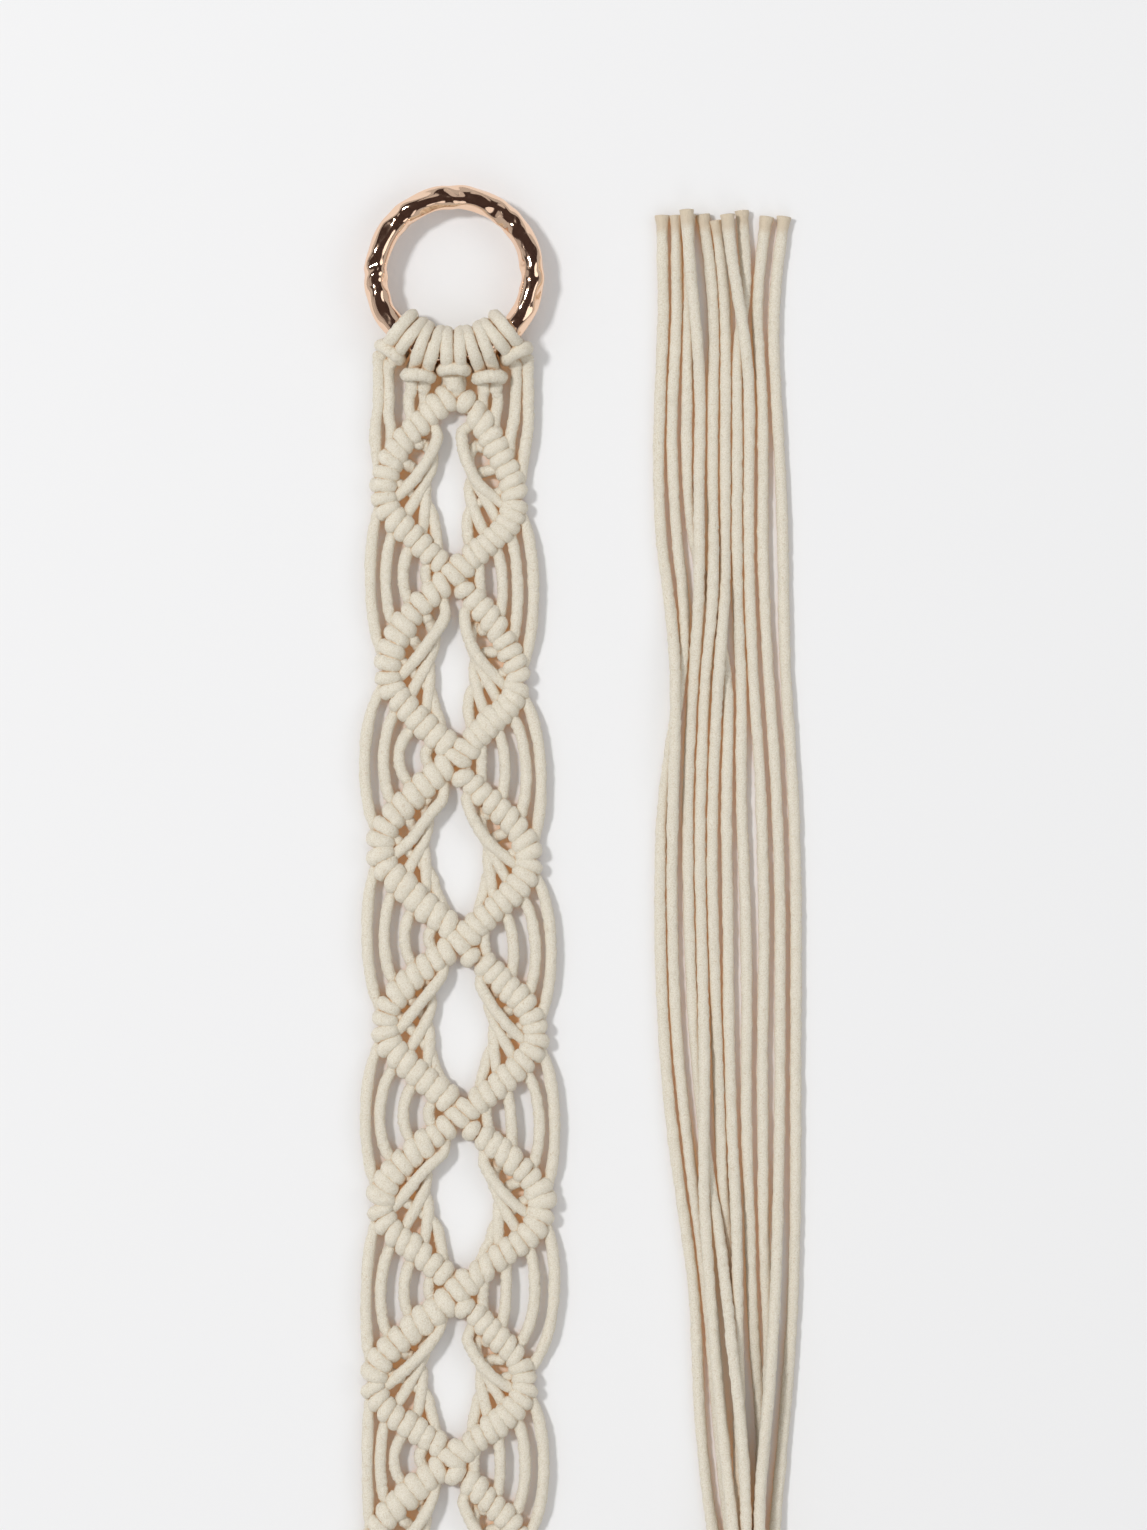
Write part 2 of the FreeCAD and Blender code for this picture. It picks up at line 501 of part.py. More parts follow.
def strand_web(number, side):
    """The four strands on one side of a diamond, which cross one over the other."""
    top = crossing_point(number)
    foot = crossing_point(number + 1)
    corner = corner_point(number, side)
    strands = []
    for index, (bulge, height) in enumerate(zip(STRAND_BULGES, STRAND_HEIGHTS)):
        start = knot_on_row(top, corner, index + 1)
        end = knot_on_row(foot, corner, ROWS_OF_KNOTS - index)
        spots = [start, end]
        if bulge > 0:
            spots.insert(1, (start + end) / 2 - V(side * bulge, 0, 0))
        points = [V(spot.x, spot.y, height) for spot in spots]
        solid, _length, _radii = tube(points, CORD_RADIUS)
        strands.append(solid)
    return strands


def loops_beside(number):
    """The eight cords beside a crossing knot, from a lower row round to the next upper row."""
    crossing = crossing_point(number)
    solids = []
    for side, reaches in ((-1, LEFT_LOOP_REACH), (1, RIGHT_LOOP_REACH)):
        above = corner_point(number - 1, side)
        below = corner_point(number, side)
        for index, (reach, half_height) in enumerate(zip(reaches, LOOP_HALF_HEIGHTS)):
            points = [knot_on_row(crossing, above, index + 1)]
            if half_height == 0:
                points.append(crossing + V(side * reach, 0, 0))
            else:
                points.append(crossing + V(side * reach, half_height, 0))
                points.append(crossing + V(side * reach, -half_height, 0))
            points.append(knot_on_row(crossing, below, index + 1))
            points = [V(spot.x, spot.y, LOOP_HEIGHT) for spot in points]
            solid, _length, _radii = tube(points, CORD_RADIUS)
            solids.append(solid)
    return solids


def neck_cords():
    """The ten strands from the ring's hitches to the first diamond."""
    solids = []
    for number in range(1, HITCHES + 1):
        for half in (-1, 1):
            strand = 2 * number - 1.5 + half / 2
            angle = hitch_angle(number) + half * math.degrees(CORD_RADIUS / RING_RADIUS)
            start = on_ring(angle, RING_RADIUS + LOOP_RADIUS + CORD_RADIUS + NECK_CLEARANCE, -3.0)
            side = -1 if strand < HITCHES else 1
            place = ROWS_OF_KNOTS - strand if side < 0 else strand - HITCHES
            end = TOP_CROSSING + V(side * CORD_RADIUS, 0, 0)
            if place > 0:
                end = knot_on_row(TOP_CROSSING, corner_point(1, side), place)
            points = [start, end]
            if place > 0:
                points.insert(1, (start * 2 + end) / 3 + V(side * 1.4, 0, -0.4))
            solid, _length, _radii = tube(points, CORD_RADIUS)
            solids.append(solid)
    return solids


for crossing_number in range(1, DIAMONDS + 2):
    crossing_knot(crossing_number)
for diamond in range(1, DIAMONDS + 1):
    tube_feature("diamond_%d_knot_rows" % diamond, [side_row(diamond, -1), side_row(diamond, 1)])
    tube_feature("diamond_%d_inner_strands" % diamond, strand_web(diamond, -1) + strand_web(diamond, 1))
for crossing_number in range(2, DIAMONDS + 1):
    tube_feature("side_loops_%d" % (crossing_number - 1), loops_beside(crossing_number))
tube_feature("neck_cords", neck_cords())

# ---------------------------------------------------------------- net for the pot


def net_knots(label, places):
    knots = []
    for number, (x, y) in enumerate(places, start=1):
        knot = rounded_bar(
            "%s_%d" % (label, number),
            "sizes.net_knot_width / 2",
            "sizes.net_knot_length",
            "sizes.net_knot_round",
        )
        knot.Placement = lying_along(V(0, 1, 0), V(x, y, NET_KNOT_HEIGHT))
        knots.append(knot)
    group = doc.addObject("Part::Compound", label)
    group.Links = knots
    keep(group, label)


net_knots("arm_knots", ARM_KNOTS)
net_knots("pocket_knots", POCKET_KNOTS)
for number, route in CRADLE_ROUTES.items():
    free_cord("cradle_cord_%02d" % number, route)

# ---------------------------------------------------------------- gathering and fringe


def stadium(sketch, half_straight, radius_expression, straight_expression):
    """A slot outline centred on the sketch's origin: two half circles joined by two lines."""
    right = sketch.addGeometry(Part.ArcOfCircle(
        Part.Circle(V(half_straight, 0, 0), Z_AXIS, 5.0), -math.pi / 2, math.pi / 2))
    left = sketch.addGeometry(Part.ArcOfCircle(
        Part.Circle(V(-half_straight, 0, 0), Z_AXIS, 5.0), math.pi / 2, 3 * math.pi / 2))
    top = sketch.addGeometry(Part.LineSegment(V(half_straight, 5, 0), V(-half_straight, 5, 0)))
    foot = sketch.addGeometry(Part.LineSegment(V(-half_straight, -5, 0), V(half_straight, -5, 0)))
    sketch.addConstraint([
        Sketcher.Constraint("Tangent", right, 2, top, 1),
        Sketcher.Constraint("Tangent", top, 2, left, 1),
        Sketcher.Constraint("Tangent", left, 2, foot, 1),
        Sketcher.Constraint("Tangent", foot, 2, right, 1),
        Sketcher.Constraint("PointOnObject", right, 3, -1),
        Sketcher.Constraint("Symmetric", left, 3, right, 3, -1, 1),
    ])
    size = sketch.addConstraint(Sketcher.Constraint("Radius", right, 5.0))
    sketch.setExpression("Constraints[%d]" % size, radius_expression)
    reach = sketch.addConstraint(Sketcher.Constraint("DistanceX", -1, 1, right, 3, half_straight))
    sketch.setExpression("Constraints[%d]" % reach, straight_expression)


# A cord wound tightly round the ten: a sleeve one cord thick with an oval opening.
wrap = doc.addObject("PartDesign::Body", "gathering_wrap")
wrap_section = new_sketch(wrap, "wrap_section", "XY_Plane")
half_straight_rule = "(sizes.wrap_bore_width - sizes.wrap_bore_height) / 2"
stadium(wrap_section, 2.0, "sizes.wrap_bore_height / 2", half_straight_rule)
stadium(wrap_section, 2.0, "sizes.wrap_bore_height / 2 + sizes.cord_diameter", half_straight_rule)
wrap_pad = wrap.newObject("PartDesign::Pad", "wrap_pad")
wrap_pad.Profile = wrap_section
wrap_pad.Midplane = True
wrap_pad.setExpression("Length", "sizes.wrap_length")
wrap.Tip = wrap_pad
wrap_height = sheet.wrap_bore_height / 2 + sheet.cord_diameter
keep(wrap, "gathering_wrap", FreeCAD.Placement(
    V(GATHER_X, GATHER_Y, wrap_height), FreeCAD.Rotation(V(1, 0, 0), 90)))

for number, route in FRINGE_ROUTES.items():
    free_cord("fringe_cord_%02d" % number, route)

# ---------------------------------------------------------------- check and write

doc.recompute()
for thing in doc.Objects:
    if "Invalid" in thing.State or "Error" in thing.State:
        raise ValueError("%s failed: %s" % (thing.Label, thing.State))
for thing in subparts:
    if thing.Shape.isNull() or not thing.Shape.isValid():
        raise ValueError("%s has no valid shape" % thing.Label)

os.makedirs("parts", exist_ok=True)
for thing in subparts:
    thing.Shape.exportStep("parts/%s.step" % thing.Label)
print("%d sub-parts written" % len(subparts))
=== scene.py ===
import math
import random

import bpy
import numpy as np
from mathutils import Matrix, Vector


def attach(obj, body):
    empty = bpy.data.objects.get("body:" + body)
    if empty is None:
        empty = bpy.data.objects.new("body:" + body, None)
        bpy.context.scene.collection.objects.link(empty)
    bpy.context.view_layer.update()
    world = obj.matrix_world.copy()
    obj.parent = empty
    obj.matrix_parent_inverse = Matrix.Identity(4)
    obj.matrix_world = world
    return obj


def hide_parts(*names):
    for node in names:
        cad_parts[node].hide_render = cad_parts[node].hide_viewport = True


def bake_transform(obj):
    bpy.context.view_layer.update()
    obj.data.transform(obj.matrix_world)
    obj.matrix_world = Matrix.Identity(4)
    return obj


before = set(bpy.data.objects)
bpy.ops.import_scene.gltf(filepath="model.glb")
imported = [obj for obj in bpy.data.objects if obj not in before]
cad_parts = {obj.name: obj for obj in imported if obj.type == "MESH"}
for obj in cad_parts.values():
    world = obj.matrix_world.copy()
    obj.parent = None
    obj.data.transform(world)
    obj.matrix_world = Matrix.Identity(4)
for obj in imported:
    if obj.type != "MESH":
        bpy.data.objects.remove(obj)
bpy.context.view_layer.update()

# ------------------------------------------------------------------ camera
# Straight down on the work, upright. It stands far enough back to keep the work flat in the view,
# which takes in a little over half a metre from top to bottom.
CAMERA_PLACE = (-0.00783, 0.122, 1.9)
VIEW_HEIGHT = 0.510

camera = bpy.data.objects.new("camera", bpy.data.cameras.new("camera"))
bpy.context.scene.collection.objects.link(camera)
bpy.context.scene.camera = camera
camera.data.sensor_width = 36
camera.data.lens = camera.data.sensor_width * CAMERA_PLACE[2] / VIEW_HEIGHT
camera.data.clip_end = 20
camera.location = CAMERA_PLACE

# ------------------------------------------------------------------ cords below the band
# The ten strands run on as loose cords, turn back and meet in the net under the pot. They are soft
# brushed cotton, one thickness throughout, and lie on the surface and on each other.
MM = 0.001
HALF_CORD = 1.9
COTTON_CREAM = (0.9, 0.84, 0.72)
# painted shade: the warm brown blended into the cotton's creases
COTTON_PAINTED_SHADE = (0.85, 0.58, 0.33)
COTTON_SEED = (0.6, 0.46, 0.3)
COTTON_FRAY = (0.7, 0.58, 0.43)
dice = random.Random(11)
CRADLE_ROUTES = [
    [
        (-0.0411, -0.1592, 0.0039), (-0.0398, -0.173, 0.0024), (-0.0394, -0.196, 0.002),
        (-0.0389, -0.227, 0.002), (-0.0399, -0.261, 0.002), (-0.0394, -0.295, 0.002),
        (-0.0396, -0.3313, 0.002), (-0.0239, -0.3529, 0.002), (0.0014, -0.3611, 0.002),
        (0.0267, -0.3529, 0.002), (0.0424, -0.3313, 0.002), (0.0423, -0.318, 0.0036),
        (0.042, -0.303, 0.0062), (0.0423, -0.284, 0.0062), (0.0429, -0.26, 0.0062),
        (0.043, -0.231, 0.0062), (0.0436, -0.216, 0.0056), (0.0462, -0.2005, 0.0061),
        (0.04635, -0.187, 0.00615),
    ],
    [
        (-0.0307, -0.1474, 0.0039), (-0.0289, -0.161, 0.0024), (-0.029, -0.184, 0.002),
        (-0.0289, -0.217, 0.002), (-0.0299, -0.256, 0.002), (-0.0294, -0.292, 0.002),
        (-0.0296, -0.3281, 0.002), (-0.0178, -0.3444, 0.002), (0.0014, -0.3506, 0.002),
        (0.0206, -0.3444, 0.002), (0.0318, -0.3276, 0.002), (0.0316, -0.308, 0.0032),
        (0.0311, -0.289, 0.0062), (0.0312, -0.268, 0.0062), (0.0318, -0.246, 0.0062),
        (0.0328, -0.229, 0.0064), (0.038, -0.2135, 0.0078), (0.0436, -0.2005, 0.0095),
        (0.04437, -0.187, 0.0096),
    ],
    [
        (-0.0446, -0.1682, 0.0039), (-0.0454, -0.182, 0.0023), (-0.0449, -0.205, 0.002),
        (-0.0442, -0.234, 0.002), (-0.0452, -0.265, 0.002), (-0.0447, -0.297, 0.002),
        (-0.045, -0.3331, 0.002), (-0.0273, -0.3575, 0.002), (0.0014, -0.3668, 0.002),
        (0.0301, -0.3575, 0.002), (0.0478, -0.3331, 0.002), (0.0483, -0.309, 0.0032),
        (0.0484, -0.289, 0.0062), (0.0481, -0.268, 0.0062), (0.0474, -0.248, 0.0062),
        (0.0471, -0.229, 0.0064), (0.0476, -0.213, 0.0082), (0.0483, -0.2, 0.0095),
        (0.04832, -0.187, 0.0096),
    ],
    [
        (-0.049, -0.1675, 0.0039), (-0.0503, -0.181, 0.0023), (-0.0497, -0.203, 0.002),
        (-0.0486, -0.232, 0.002), (-0.0496, -0.264, 0.002), (-0.049, -0.296, 0.002),
        (-0.0492, -0.3344, 0.002), (-0.0299, -0.3611, 0.002), (0.0014, -0.3712, 0.002),
        (0.0327, -0.3611, 0.002), (0.052, -0.3344, 0.002), (0.0525, -0.309, 0.0032),
        (0.0526, -0.289, 0.0062), (0.053, -0.268, 0.0062), (0.0539, -0.246, 0.0062),
        (0.0534, -0.229, 0.0076), (0.0513, -0.214, 0.0112), (0.0503, -0.2005, 0.0129),
        (0.0503, -0.187, 0.01305),
    ],
    [
        (-0.0359, -0.1533, 0.0039), (-0.0349, -0.167, 0.0024), (-0.0351, -0.19, 0.002),
        (-0.0348, -0.222, 0.002), (-0.0358, -0.258, 0.002), (-0.0352, -0.293, 0.002),
        (-0.0354, -0.33, 0.002), (-0.0213, -0.3493, 0.002), (0.0014, -0.3567, 0.002),
        (0.0241, -0.3493, 0.002), (0.0382, -0.33, 0.002), (0.0383, -0.318, 0.0036),
        (0.038, -0.303, 0.0062), (0.0376, -0.284, 0.0062), (0.0366, -0.264, 0.0062),
        (0.0361, -0.244, 0.0064), (0.0368, -0.227, 0.0084), (0.0416, -0.2125, 0.0114),
        (0.0458, -0.2, 0.0129), (0.04635, -0.187, 0.01305),
    ],
    [
        (-0.0255, -0.1414, 0.0039), (-0.0243, -0.156, 0.0024), (-0.0246, -0.18, 0.002),
        (-0.0245, -0.214, 0.002), (-0.0255, -0.254, 0.002), (-0.025, -0.291, 0.002),
        (-0.0252, -0.3266, 0.002), (-0.015, -0.3406, 0.002), (0.0014, -0.346, 0.002),
        (0.0178, -0.3406, 0.002), (0.0274, -0.326, 0.002), (0.0272, -0.308, 0.0032),
        (0.027, -0.292, 0.0046), (0.0285, -0.277, 0.0022), (0.038, -0.268, 0.002),
        (0.0515, -0.2643, 0.002), (0.064, -0.262, 0.002), (0.073, -0.2545, 0.0025),
        (0.0756, -0.242, 0.0058), (0.0748, -0.229, 0.003), (0.0685, -0.2165, 0.0022),
        (0.0588, -0.207, 0.0034), (0.0518, -0.1994, 0.0056), (0.0503, -0.187, 0.00615),
    ],
    [
        (-0.0536, -0.1593, 0.0039), (-0.0556, -0.173, 0.0024), (-0.0553, -0.196, 0.002),
        (-0.0541, -0.226, 0.002), (-0.0551, -0.261, 0.002), (-0.0544, -0.295, 0.002),
        (-0.0546, -0.3362, 0.002), (-0.0332, -0.3657, 0.002), (0.0014, -0.3769, 0.002),
        (0.036, -0.3657, 0.002), (0.0574, -0.3362, 0.002), (0.0588, -0.319, 0.0036),
        (0.0589, -0.303, 0.0062), (0.0587, -0.284, 0.0062), (0.0583, -0.264, 0.0062),
        (0.058, -0.246, 0.0062), (0.0576, -0.229, 0.0066), (0.055, -0.214, 0.0084),
        (0.0526, -0.2005, 0.0095), (0.05228, -0.187, 0.0096),
    ],
    [
        (-0.0694, -0.1417, 0.0039), (-0.0706, -0.157, 0.0024), (-0.0703, -0.182, 0.002),
        (-0.0687, -0.216, 0.002), (-0.0697, -0.256, 0.002), (-0.069, -0.294, 0.002),
        (-0.0691, -0.3409, 0.002), (-0.0422, -0.378, 0.002), (0.0014, -0.3921, 0.002),
        (0.045, -0.378, 0.002), (0.0716, -0.341, 0.002), (0.0734, -0.308, 0.0032),
        (0.0736, -0.289, 0.0062), (0.0754, -0.268, 0.0062), (0.0792, -0.252, 0.0062),
        (0.0798, -0.238, 0.0056), (0.0788, -0.225, 0.003), (0.074, -0.2135, 0.0022),
        (0.0648, -0.205, 0.0032), (0.057, -0.1993, 0.0055), (0.05425, -0.187, 0.00615),
    ],
    [
        (-0.0589, -0.1535, 0.0039), (-0.0599, -0.167, 0.0024), (-0.0596, -0.19, 0.002),
        (-0.0584, -0.221, 0.002), (-0.0594, -0.258, 0.002), (-0.0587, -0.294, 0.002),
        (-0.0589, -0.3376, 0.002), (-0.0359, -0.3693, 0.002), (0.0014, -0.3814, 0.002),
        (0.0387, -0.3693, 0.002), (0.0617, -0.3376, 0.002), (0.0629, -0.319, 0.0036),
        (0.063, -0.303, 0.0062), (0.0632, -0.284, 0.0062), (0.0638, -0.264, 0.0062),
        (0.0644, -0.246, 0.0062), (0.0646, -0.23, 0.0066), (0.0632, -0.218, 0.0092),
        (0.0588, -0.2085, 0.012), (0.0547, -0.1995, 0.0129), (0.05425, -0.187, 0.01305),
    ],
    [
        (-0.0642, -0.1476, 0.0039), (-0.066, -0.162, 0.0024), (-0.0659, -0.186, 0.002),
        (-0.0644, -0.218, 0.002), (-0.0654, -0.257, 0.002), (-0.0647, -0.294, 0.002),
        (-0.0648, -0.3395, 0.002), (-0.0395, -0.3743, 0.002), (0.0014, -0.3876, 0.002),
        (0.0423, -0.3743, 0.002), (0.0673, -0.3395, 0.002), (0.0692, -0.308, 0.0032),
        (0.0695, -0.289, 0.0062), (0.0692, -0.268, 0.0062), (0.0688, -0.248, 0.0062),
        (0.0685, -0.231, 0.0062), (0.0668, -0.219, 0.0064), (0.0618, -0.2085, 0.008),
        (0.057, -0.1998, 0.0095), (0.05623, -0.187, 0.0096),
    ],
]


class Value:
    """A node's output. Sums and products of these add Math nodes."""

    def __init__(self, finish, socket):
        self.finish = finish
        self.socket = socket

    def maths(self, operation, first, second):
        return self.finish.node("Math", {"operation": operation}, {0: first, 1: second})

    def __add__(self, other):
        return self.maths("ADD", self, other)

    def __radd__(self, other):
        return self.maths("ADD", other, self)

    def __mul__(self, other):
        return self.maths("MULTIPLY", self, other)

    def __rmul__(self, other):
        return self.maths("MULTIPLY", other, self)

    def between(self, start, end):
        """0 up to start, 1 from end on, eased in between."""
        sockets = {"Value": self, "From Min": start, "From Max": end}
        return self.finish.node("MapRange", {"interpolation_type": "SMOOTHSTEP"}, sockets, "Result")


class Finish:
    """A material in the making."""

    def __init__(self, name):
        self.material = bpy.data.materials.new(name)
        self.material.use_nodes = True
        self.tree = self.material.node_tree
        self.surface = self.tree.nodes["Principled BSDF"]

    def plug(self, socket, value):
        if isinstance(value, Value):
            self.tree.links.new(value.socket, socket)
        else:
            socket.default_value = value

    def node(self, kind, settings, sockets, output=0):
        """Adds a node of any kind: first its settings, then the values or links of its sockets."""
        made = self.tree.nodes.new("ShaderNode" + kind)
        for name, value in settings.items():
            setattr(made, name, value)
        for name, value in sockets.items():
            self.plug(made.inputs[name], value)
        return Value(self, made.outputs[output])

    def speckle(self, place, scale, detail, rough):
        sockets = {"Vector": place, "Scale": scale, "Detail": detail, "Roughness": rough}
        return self.node("TexNoise", {}, sockets, "Fac")

    def painted_shade_mask(self, distance):
        """1 in the open, falling to 0 where the surface is shut in by others nearer than distance: the mask
        where shade is painted, and on the floor a glow too.
        """
        return self.node("AmbientOcclusion", {"samples": 8}, {"Distance": distance}, "AO")

    def blend(self, share, first, second):
        """A colour that goes from first to second as share goes from 0 to 1."""
        first = first if isinstance(first, Value) else (*first, 1)
        second = second if isinstance(second, Value) else (*second, 1)
        return self.node("Mix", {"data_type": "RGBA"}, {0: share, 6: first, 7: second}, 2)

    def feed(self, name, value):
        self.plug(self.surface.inputs[name], value)


def tinted(colour, red, green, blue):
    return colour[0] * red, colour[1] * green, colour[2] * blue


def brushed_cotton():
    """Fine fibres along the cord under a felt of fuzz, flecks of seed, and a warm brown shade painted into
    the creases where other cord shuts it in.
    """
    cotton = Finish("cream_cotton")
    place = cotton.node("TexCoord", {}, {}, "Object")
    along = cotton.node("TexCoord", {}, {}, "UV")
    along = cotton.node("Mapping", {}, {"Vector": along, "Scale": (9.0, 1.3, 1.0)})
    patches = cotton.speckle(place, 260.0, 2.0, 0.5)
    felt = cotton.speckle(place, 1500.0, 3.0, 0.7)
    grain = cotton.speckle(place, 2300.0, 4.0, 0.75)
    fibre = cotton.speckle(along, 5.0, 3.0, 0.7)
    seed = cotton.speckle(place, 800.0, 1.0, 0.5).between(0.66, 0.72)
    frayed = cotton.node("Attribute", {"attribute_name": "fray"}, {}, "Fac")
    tone = cotton.blend(patches.between(0.3, 0.7), tinted(COTTON_CREAM, 0.965, 0.965, 0.965), COTTON_CREAM)
    tone = cotton.blend(fibre.between(0.25, 0.75) * 0.5, tone, tinted(COTTON_CREAM, 0.9, 0.9, 0.9))
    tone = cotton.blend(grain.between(0.4, 0.56), tinted(COTTON_CREAM, 0.84, 0.81, 0.75), tone)
    tone = cotton.blend(seed * 0.3, tone, COTTON_SEED)
    tone = cotton.blend(frayed.between(0.22, 0.5) * 0.8, tone, COTTON_FRAY)
    # painted shade: a warm brown blended into the colour where the cord is shut in by other cord, in creases
    # and between turns
    tone = cotton.blend(cotton.painted_shade_mask(0.004).between(0.0, 0.6), COTTON_PAINTED_SHADE, tone)
    cotton.feed("Base Color", tone)
    cotton.feed("Roughness", 0.92)
    cotton.feed("Sheen Weight", 0.18)
    cotton.feed("Sheen Roughness", 0.5)
    cotton.feed("Specular IOR Level", 0.15)
    height = felt * 0.6 + fibre * 0.5 + grain * 0.3
    cotton.feed("Normal", cotton.node("Bump", {}, {"Strength": 0.9, "Distance": 0.0007, "Height": height}))
    return cotton.material


def soft_line(route, spacing=1.0):
    """Points along the line a cord takes past its route's points, from the NURBS spline they control."""
    curve = bpy.data.curves.new("route", "CURVE")
    curve.dimensions = "3D"
    spline = curve.splines.new("NURBS")
    spline.points.add(len(route) - 1)
    for point, (x, y, z) in zip(spline.points, route):
        point.co = (x, y, z, 1)
    spline.order_u = 3
    spline.use_endpoint_u = True
    runs = sum(math.dist(a, b) for a, b in zip(route, route[1:]))
    curve.resolution_u = max(4, round(runs / (len(route) - 2) / spacing))
    holder = bpy.data.objects.new("route", curve)
    traced = bpy.data.meshes.new_from_object(holder)
    line = np.array([tuple(point.co) for point in traced.vertices], float)
    bpy.data.meshes.remove(traced)
    bpy.data.objects.remove(holder)
    bpy.data.curves.remove(curve)
    return line


def run_along(line):
    """How far along the line each of its points is."""
    return np.concatenate([[0], np.cumsum(np.linalg.norm(np.diff(line, axis=0), axis=1))])


# the slow swelling of a cord: the length of each wave in millimetres for one radian, and its share
WAVES = ((5.1, 1.0), (2.3, 0.8), (11.0, 0.6))
# how far fraying reaches back from a cut end, and how much wider it makes the cord
FRAY_REACH = 5.0
FRAY_WIDENING = 0.16
# the last two rings of an end: their share of the cord's radius, and how far out they stand
CUT_END = ((0.96, 0.1), (0.6, 0.16))
TUCKED_END = ((0.86, 0.35), (0.5, 0.62))
# the height of the lowest cotton over the floor, in metres
LOWEST = 0.00002


class Yarn:
    """Gathers lengths of cord, given in millimetres, into one mesh."""

    def __init__(self):
        self.points = []
        self.faces = []
        self.uvs = []
        self.tips = []
        self.count = 0

    def ring_of_points(self, points, tip):
        self.points.append(points)
        self.tips.append(tip)
        self.count += len(points)

    def quad(self, corners, around, lengthwise):
        """A face between two rings of points, with u going round the cord and v along it."""
        self.faces.append(corners)
        (u0, u1), (v0, v1) = around, lengthwise
        self.uvs += [(u0, v0), (u1, v0), (u1, v1), (u0, v1)]

    def tube(self, line, radius=HALF_CORD, closed=False, sides=14, swell=0.03, frayed_end=0.0,
             up=(0, 0, 1), fuzz=0.05):
        """A cord along a line, with an outline that swells and shrinks a little and a rough, fuzzy skin."""
        line = np.asarray(line, float)
        count = len(line)
        if closed:
            ahead = np.roll(line, -1, 0) - np.roll(line, 1, 0)
            gaps = np.diff(line, axis=0, append=line[:1])
        else:
            ahead = np.gradient(line, axis=0)
            gaps = np.diff(line, axis=0, append=line[-1:])
        ahead /= np.linalg.norm(ahead, axis=1)[:, None]
        run = np.concatenate([[0], np.cumsum(np.linalg.norm(gaps, axis=1))])

        # sideways is carried along the line, so that the section doesn't spin where the cord stands up
        sideways = np.empty_like(line)
        sideways[0] = np.cross(ahead[0], up)
        if np.linalg.norm(sideways[0]) < 0.05:
            sideways[0] = (1, 0, 0)
        for i in range(1, count):
            carried = sideways[i - 1] - ahead[i] * np.dot(sideways[i - 1], ahead[i])
            sideways[i] = carried / max(np.linalg.norm(carried), 1e-9)
        upward = np.cross(sideways, ahead)

        skin = np.random.default_rng(self.count + 7).normal(0, 1, (count, sides))
        skin = 1 + fuzz * (skin + np.roll(skin, 1, 0) + np.roll(skin, 1, 1)) / 1.7
        # four draws for each cord, of which the waves use three
        starts = [dice.uniform(0, 6.28) for _ in range(4)]
        place = run[:count]
        wave = sum(share * np.sin(place / length + start) for (length, share), start in zip(WAVES, starts))
        thick = np.broadcast_to(radius, count) * (1 + swell * wave / 2)
        tip = np.zeros(count)
        if frayed_end:
            tip = frayed_end * np.exp(-(run[count - 1] - place) / FRAY_REACH)
            thick = thick * (1 + FRAY_WIDENING * tip ** 2)

        turn = np.arange(sides) * 2 * math.pi / sides
        reach = (thick[:, None] * skin)[:, :, None]
        skin_points = line[:, None] + reach * (
            sideways[:, None] * np.cos(turn)[:, None] + upward[:, None] * np.sin(turn)[:, None]
        )
        base = self.count
        self.ring_of_points(skin_points.reshape(-1, 3), np.repeat(tip, sides))
        lengthwise = (run + dice.uniform(0, 50)) / (2 * math.pi * HALF_CORD)
        for i in range(count if closed else count - 1):
            here = base + i * sides
            there = base + (i + 1) % count * sides
            for k in range(sides):
                after = (k + 1) % sides
                self.quad(
                    (here + k, here + after, there + after, there + k),
                    (k / sides, (k + 1) / sides),
                    (lengthwise[i], lengthwise[i + 1]),
                )
        if not closed:
            for end, outward in ((0, -1), (count - 1, 1)):
                out = ahead[end] * outward * thick[end]
                wide = sideways[end] * np.cos(turn)[:, None] + upward[end] * np.sin(turn)[:, None]
                wide = wide * thick[end]
                self.cap(base + end * sides, line[end], out, wide, tip[end], lengthwise[end], outward)
        return self

    def cap(self, last, centre, out, wide, tip, lengthwise, order):
        """Closes an end: rounded where a strand goes on inside a knot, blunt where the cord is cut."""
        sides = len(wide)
        for share, push in CUT_END if tip > 0.2 else TUCKED_END:
            new = self.count
            self.ring_of_points(centre + out * push + wide * share, np.full(sides, tip))
            for k in range(sides):
                after = (k + 1) % sides
                corners = (last + k, last + after, new + after, new + k)
                self.quad(corners[::order], (k / sides, (k + 1) / sides), (lengthwise, lengthwise + 0.05))
            last = new
        self.faces.append(tuple(range(last, last + sides))[::order])
        self.uvs += [(k / sides, 0.0) for k in range(sides)]

    def build(self, name, material):
        mesh = bpy.data.meshes.new(name)
        points = np.concatenate(self.points) * MM
        # a soft cord lies a little flat on the surface
        points[:, 2] = np.maximum(points[:, 2], LOWEST)
        mesh.from_pydata(points.tolist(), [], self.faces)
        layer = mesh.uv_layers.new(name="UVMap")
        layer.data.foreach_set("uv", np.array(self.uvs, np.float32).ravel())
        fray = mesh.attributes.new("fray", "FLOAT", "POINT")
        fray.data.foreach_set("value", np.concatenate(self.tips).astype(np.float32))
        mesh.polygons.foreach_set("use_smooth", [True] * len(mesh.polygons))
        mesh.materials.append(material)
        thing = bpy.data.objects.new(name, mesh)
        bpy.context.scene.collection.objects.link(thing)
        return thing


cream_cotton = brushed_cotton()
for number, route in enumerate(CRADLE_ROUTES, start=1):
    line = soft_line(route, 0.001)
    cord = Yarn().tube(line / MM, swell=0.02).build("soft_cradle_%02d" % number, cream_cotton)
    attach(cord, "band")
    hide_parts("cradle_cord_%02d" % number)

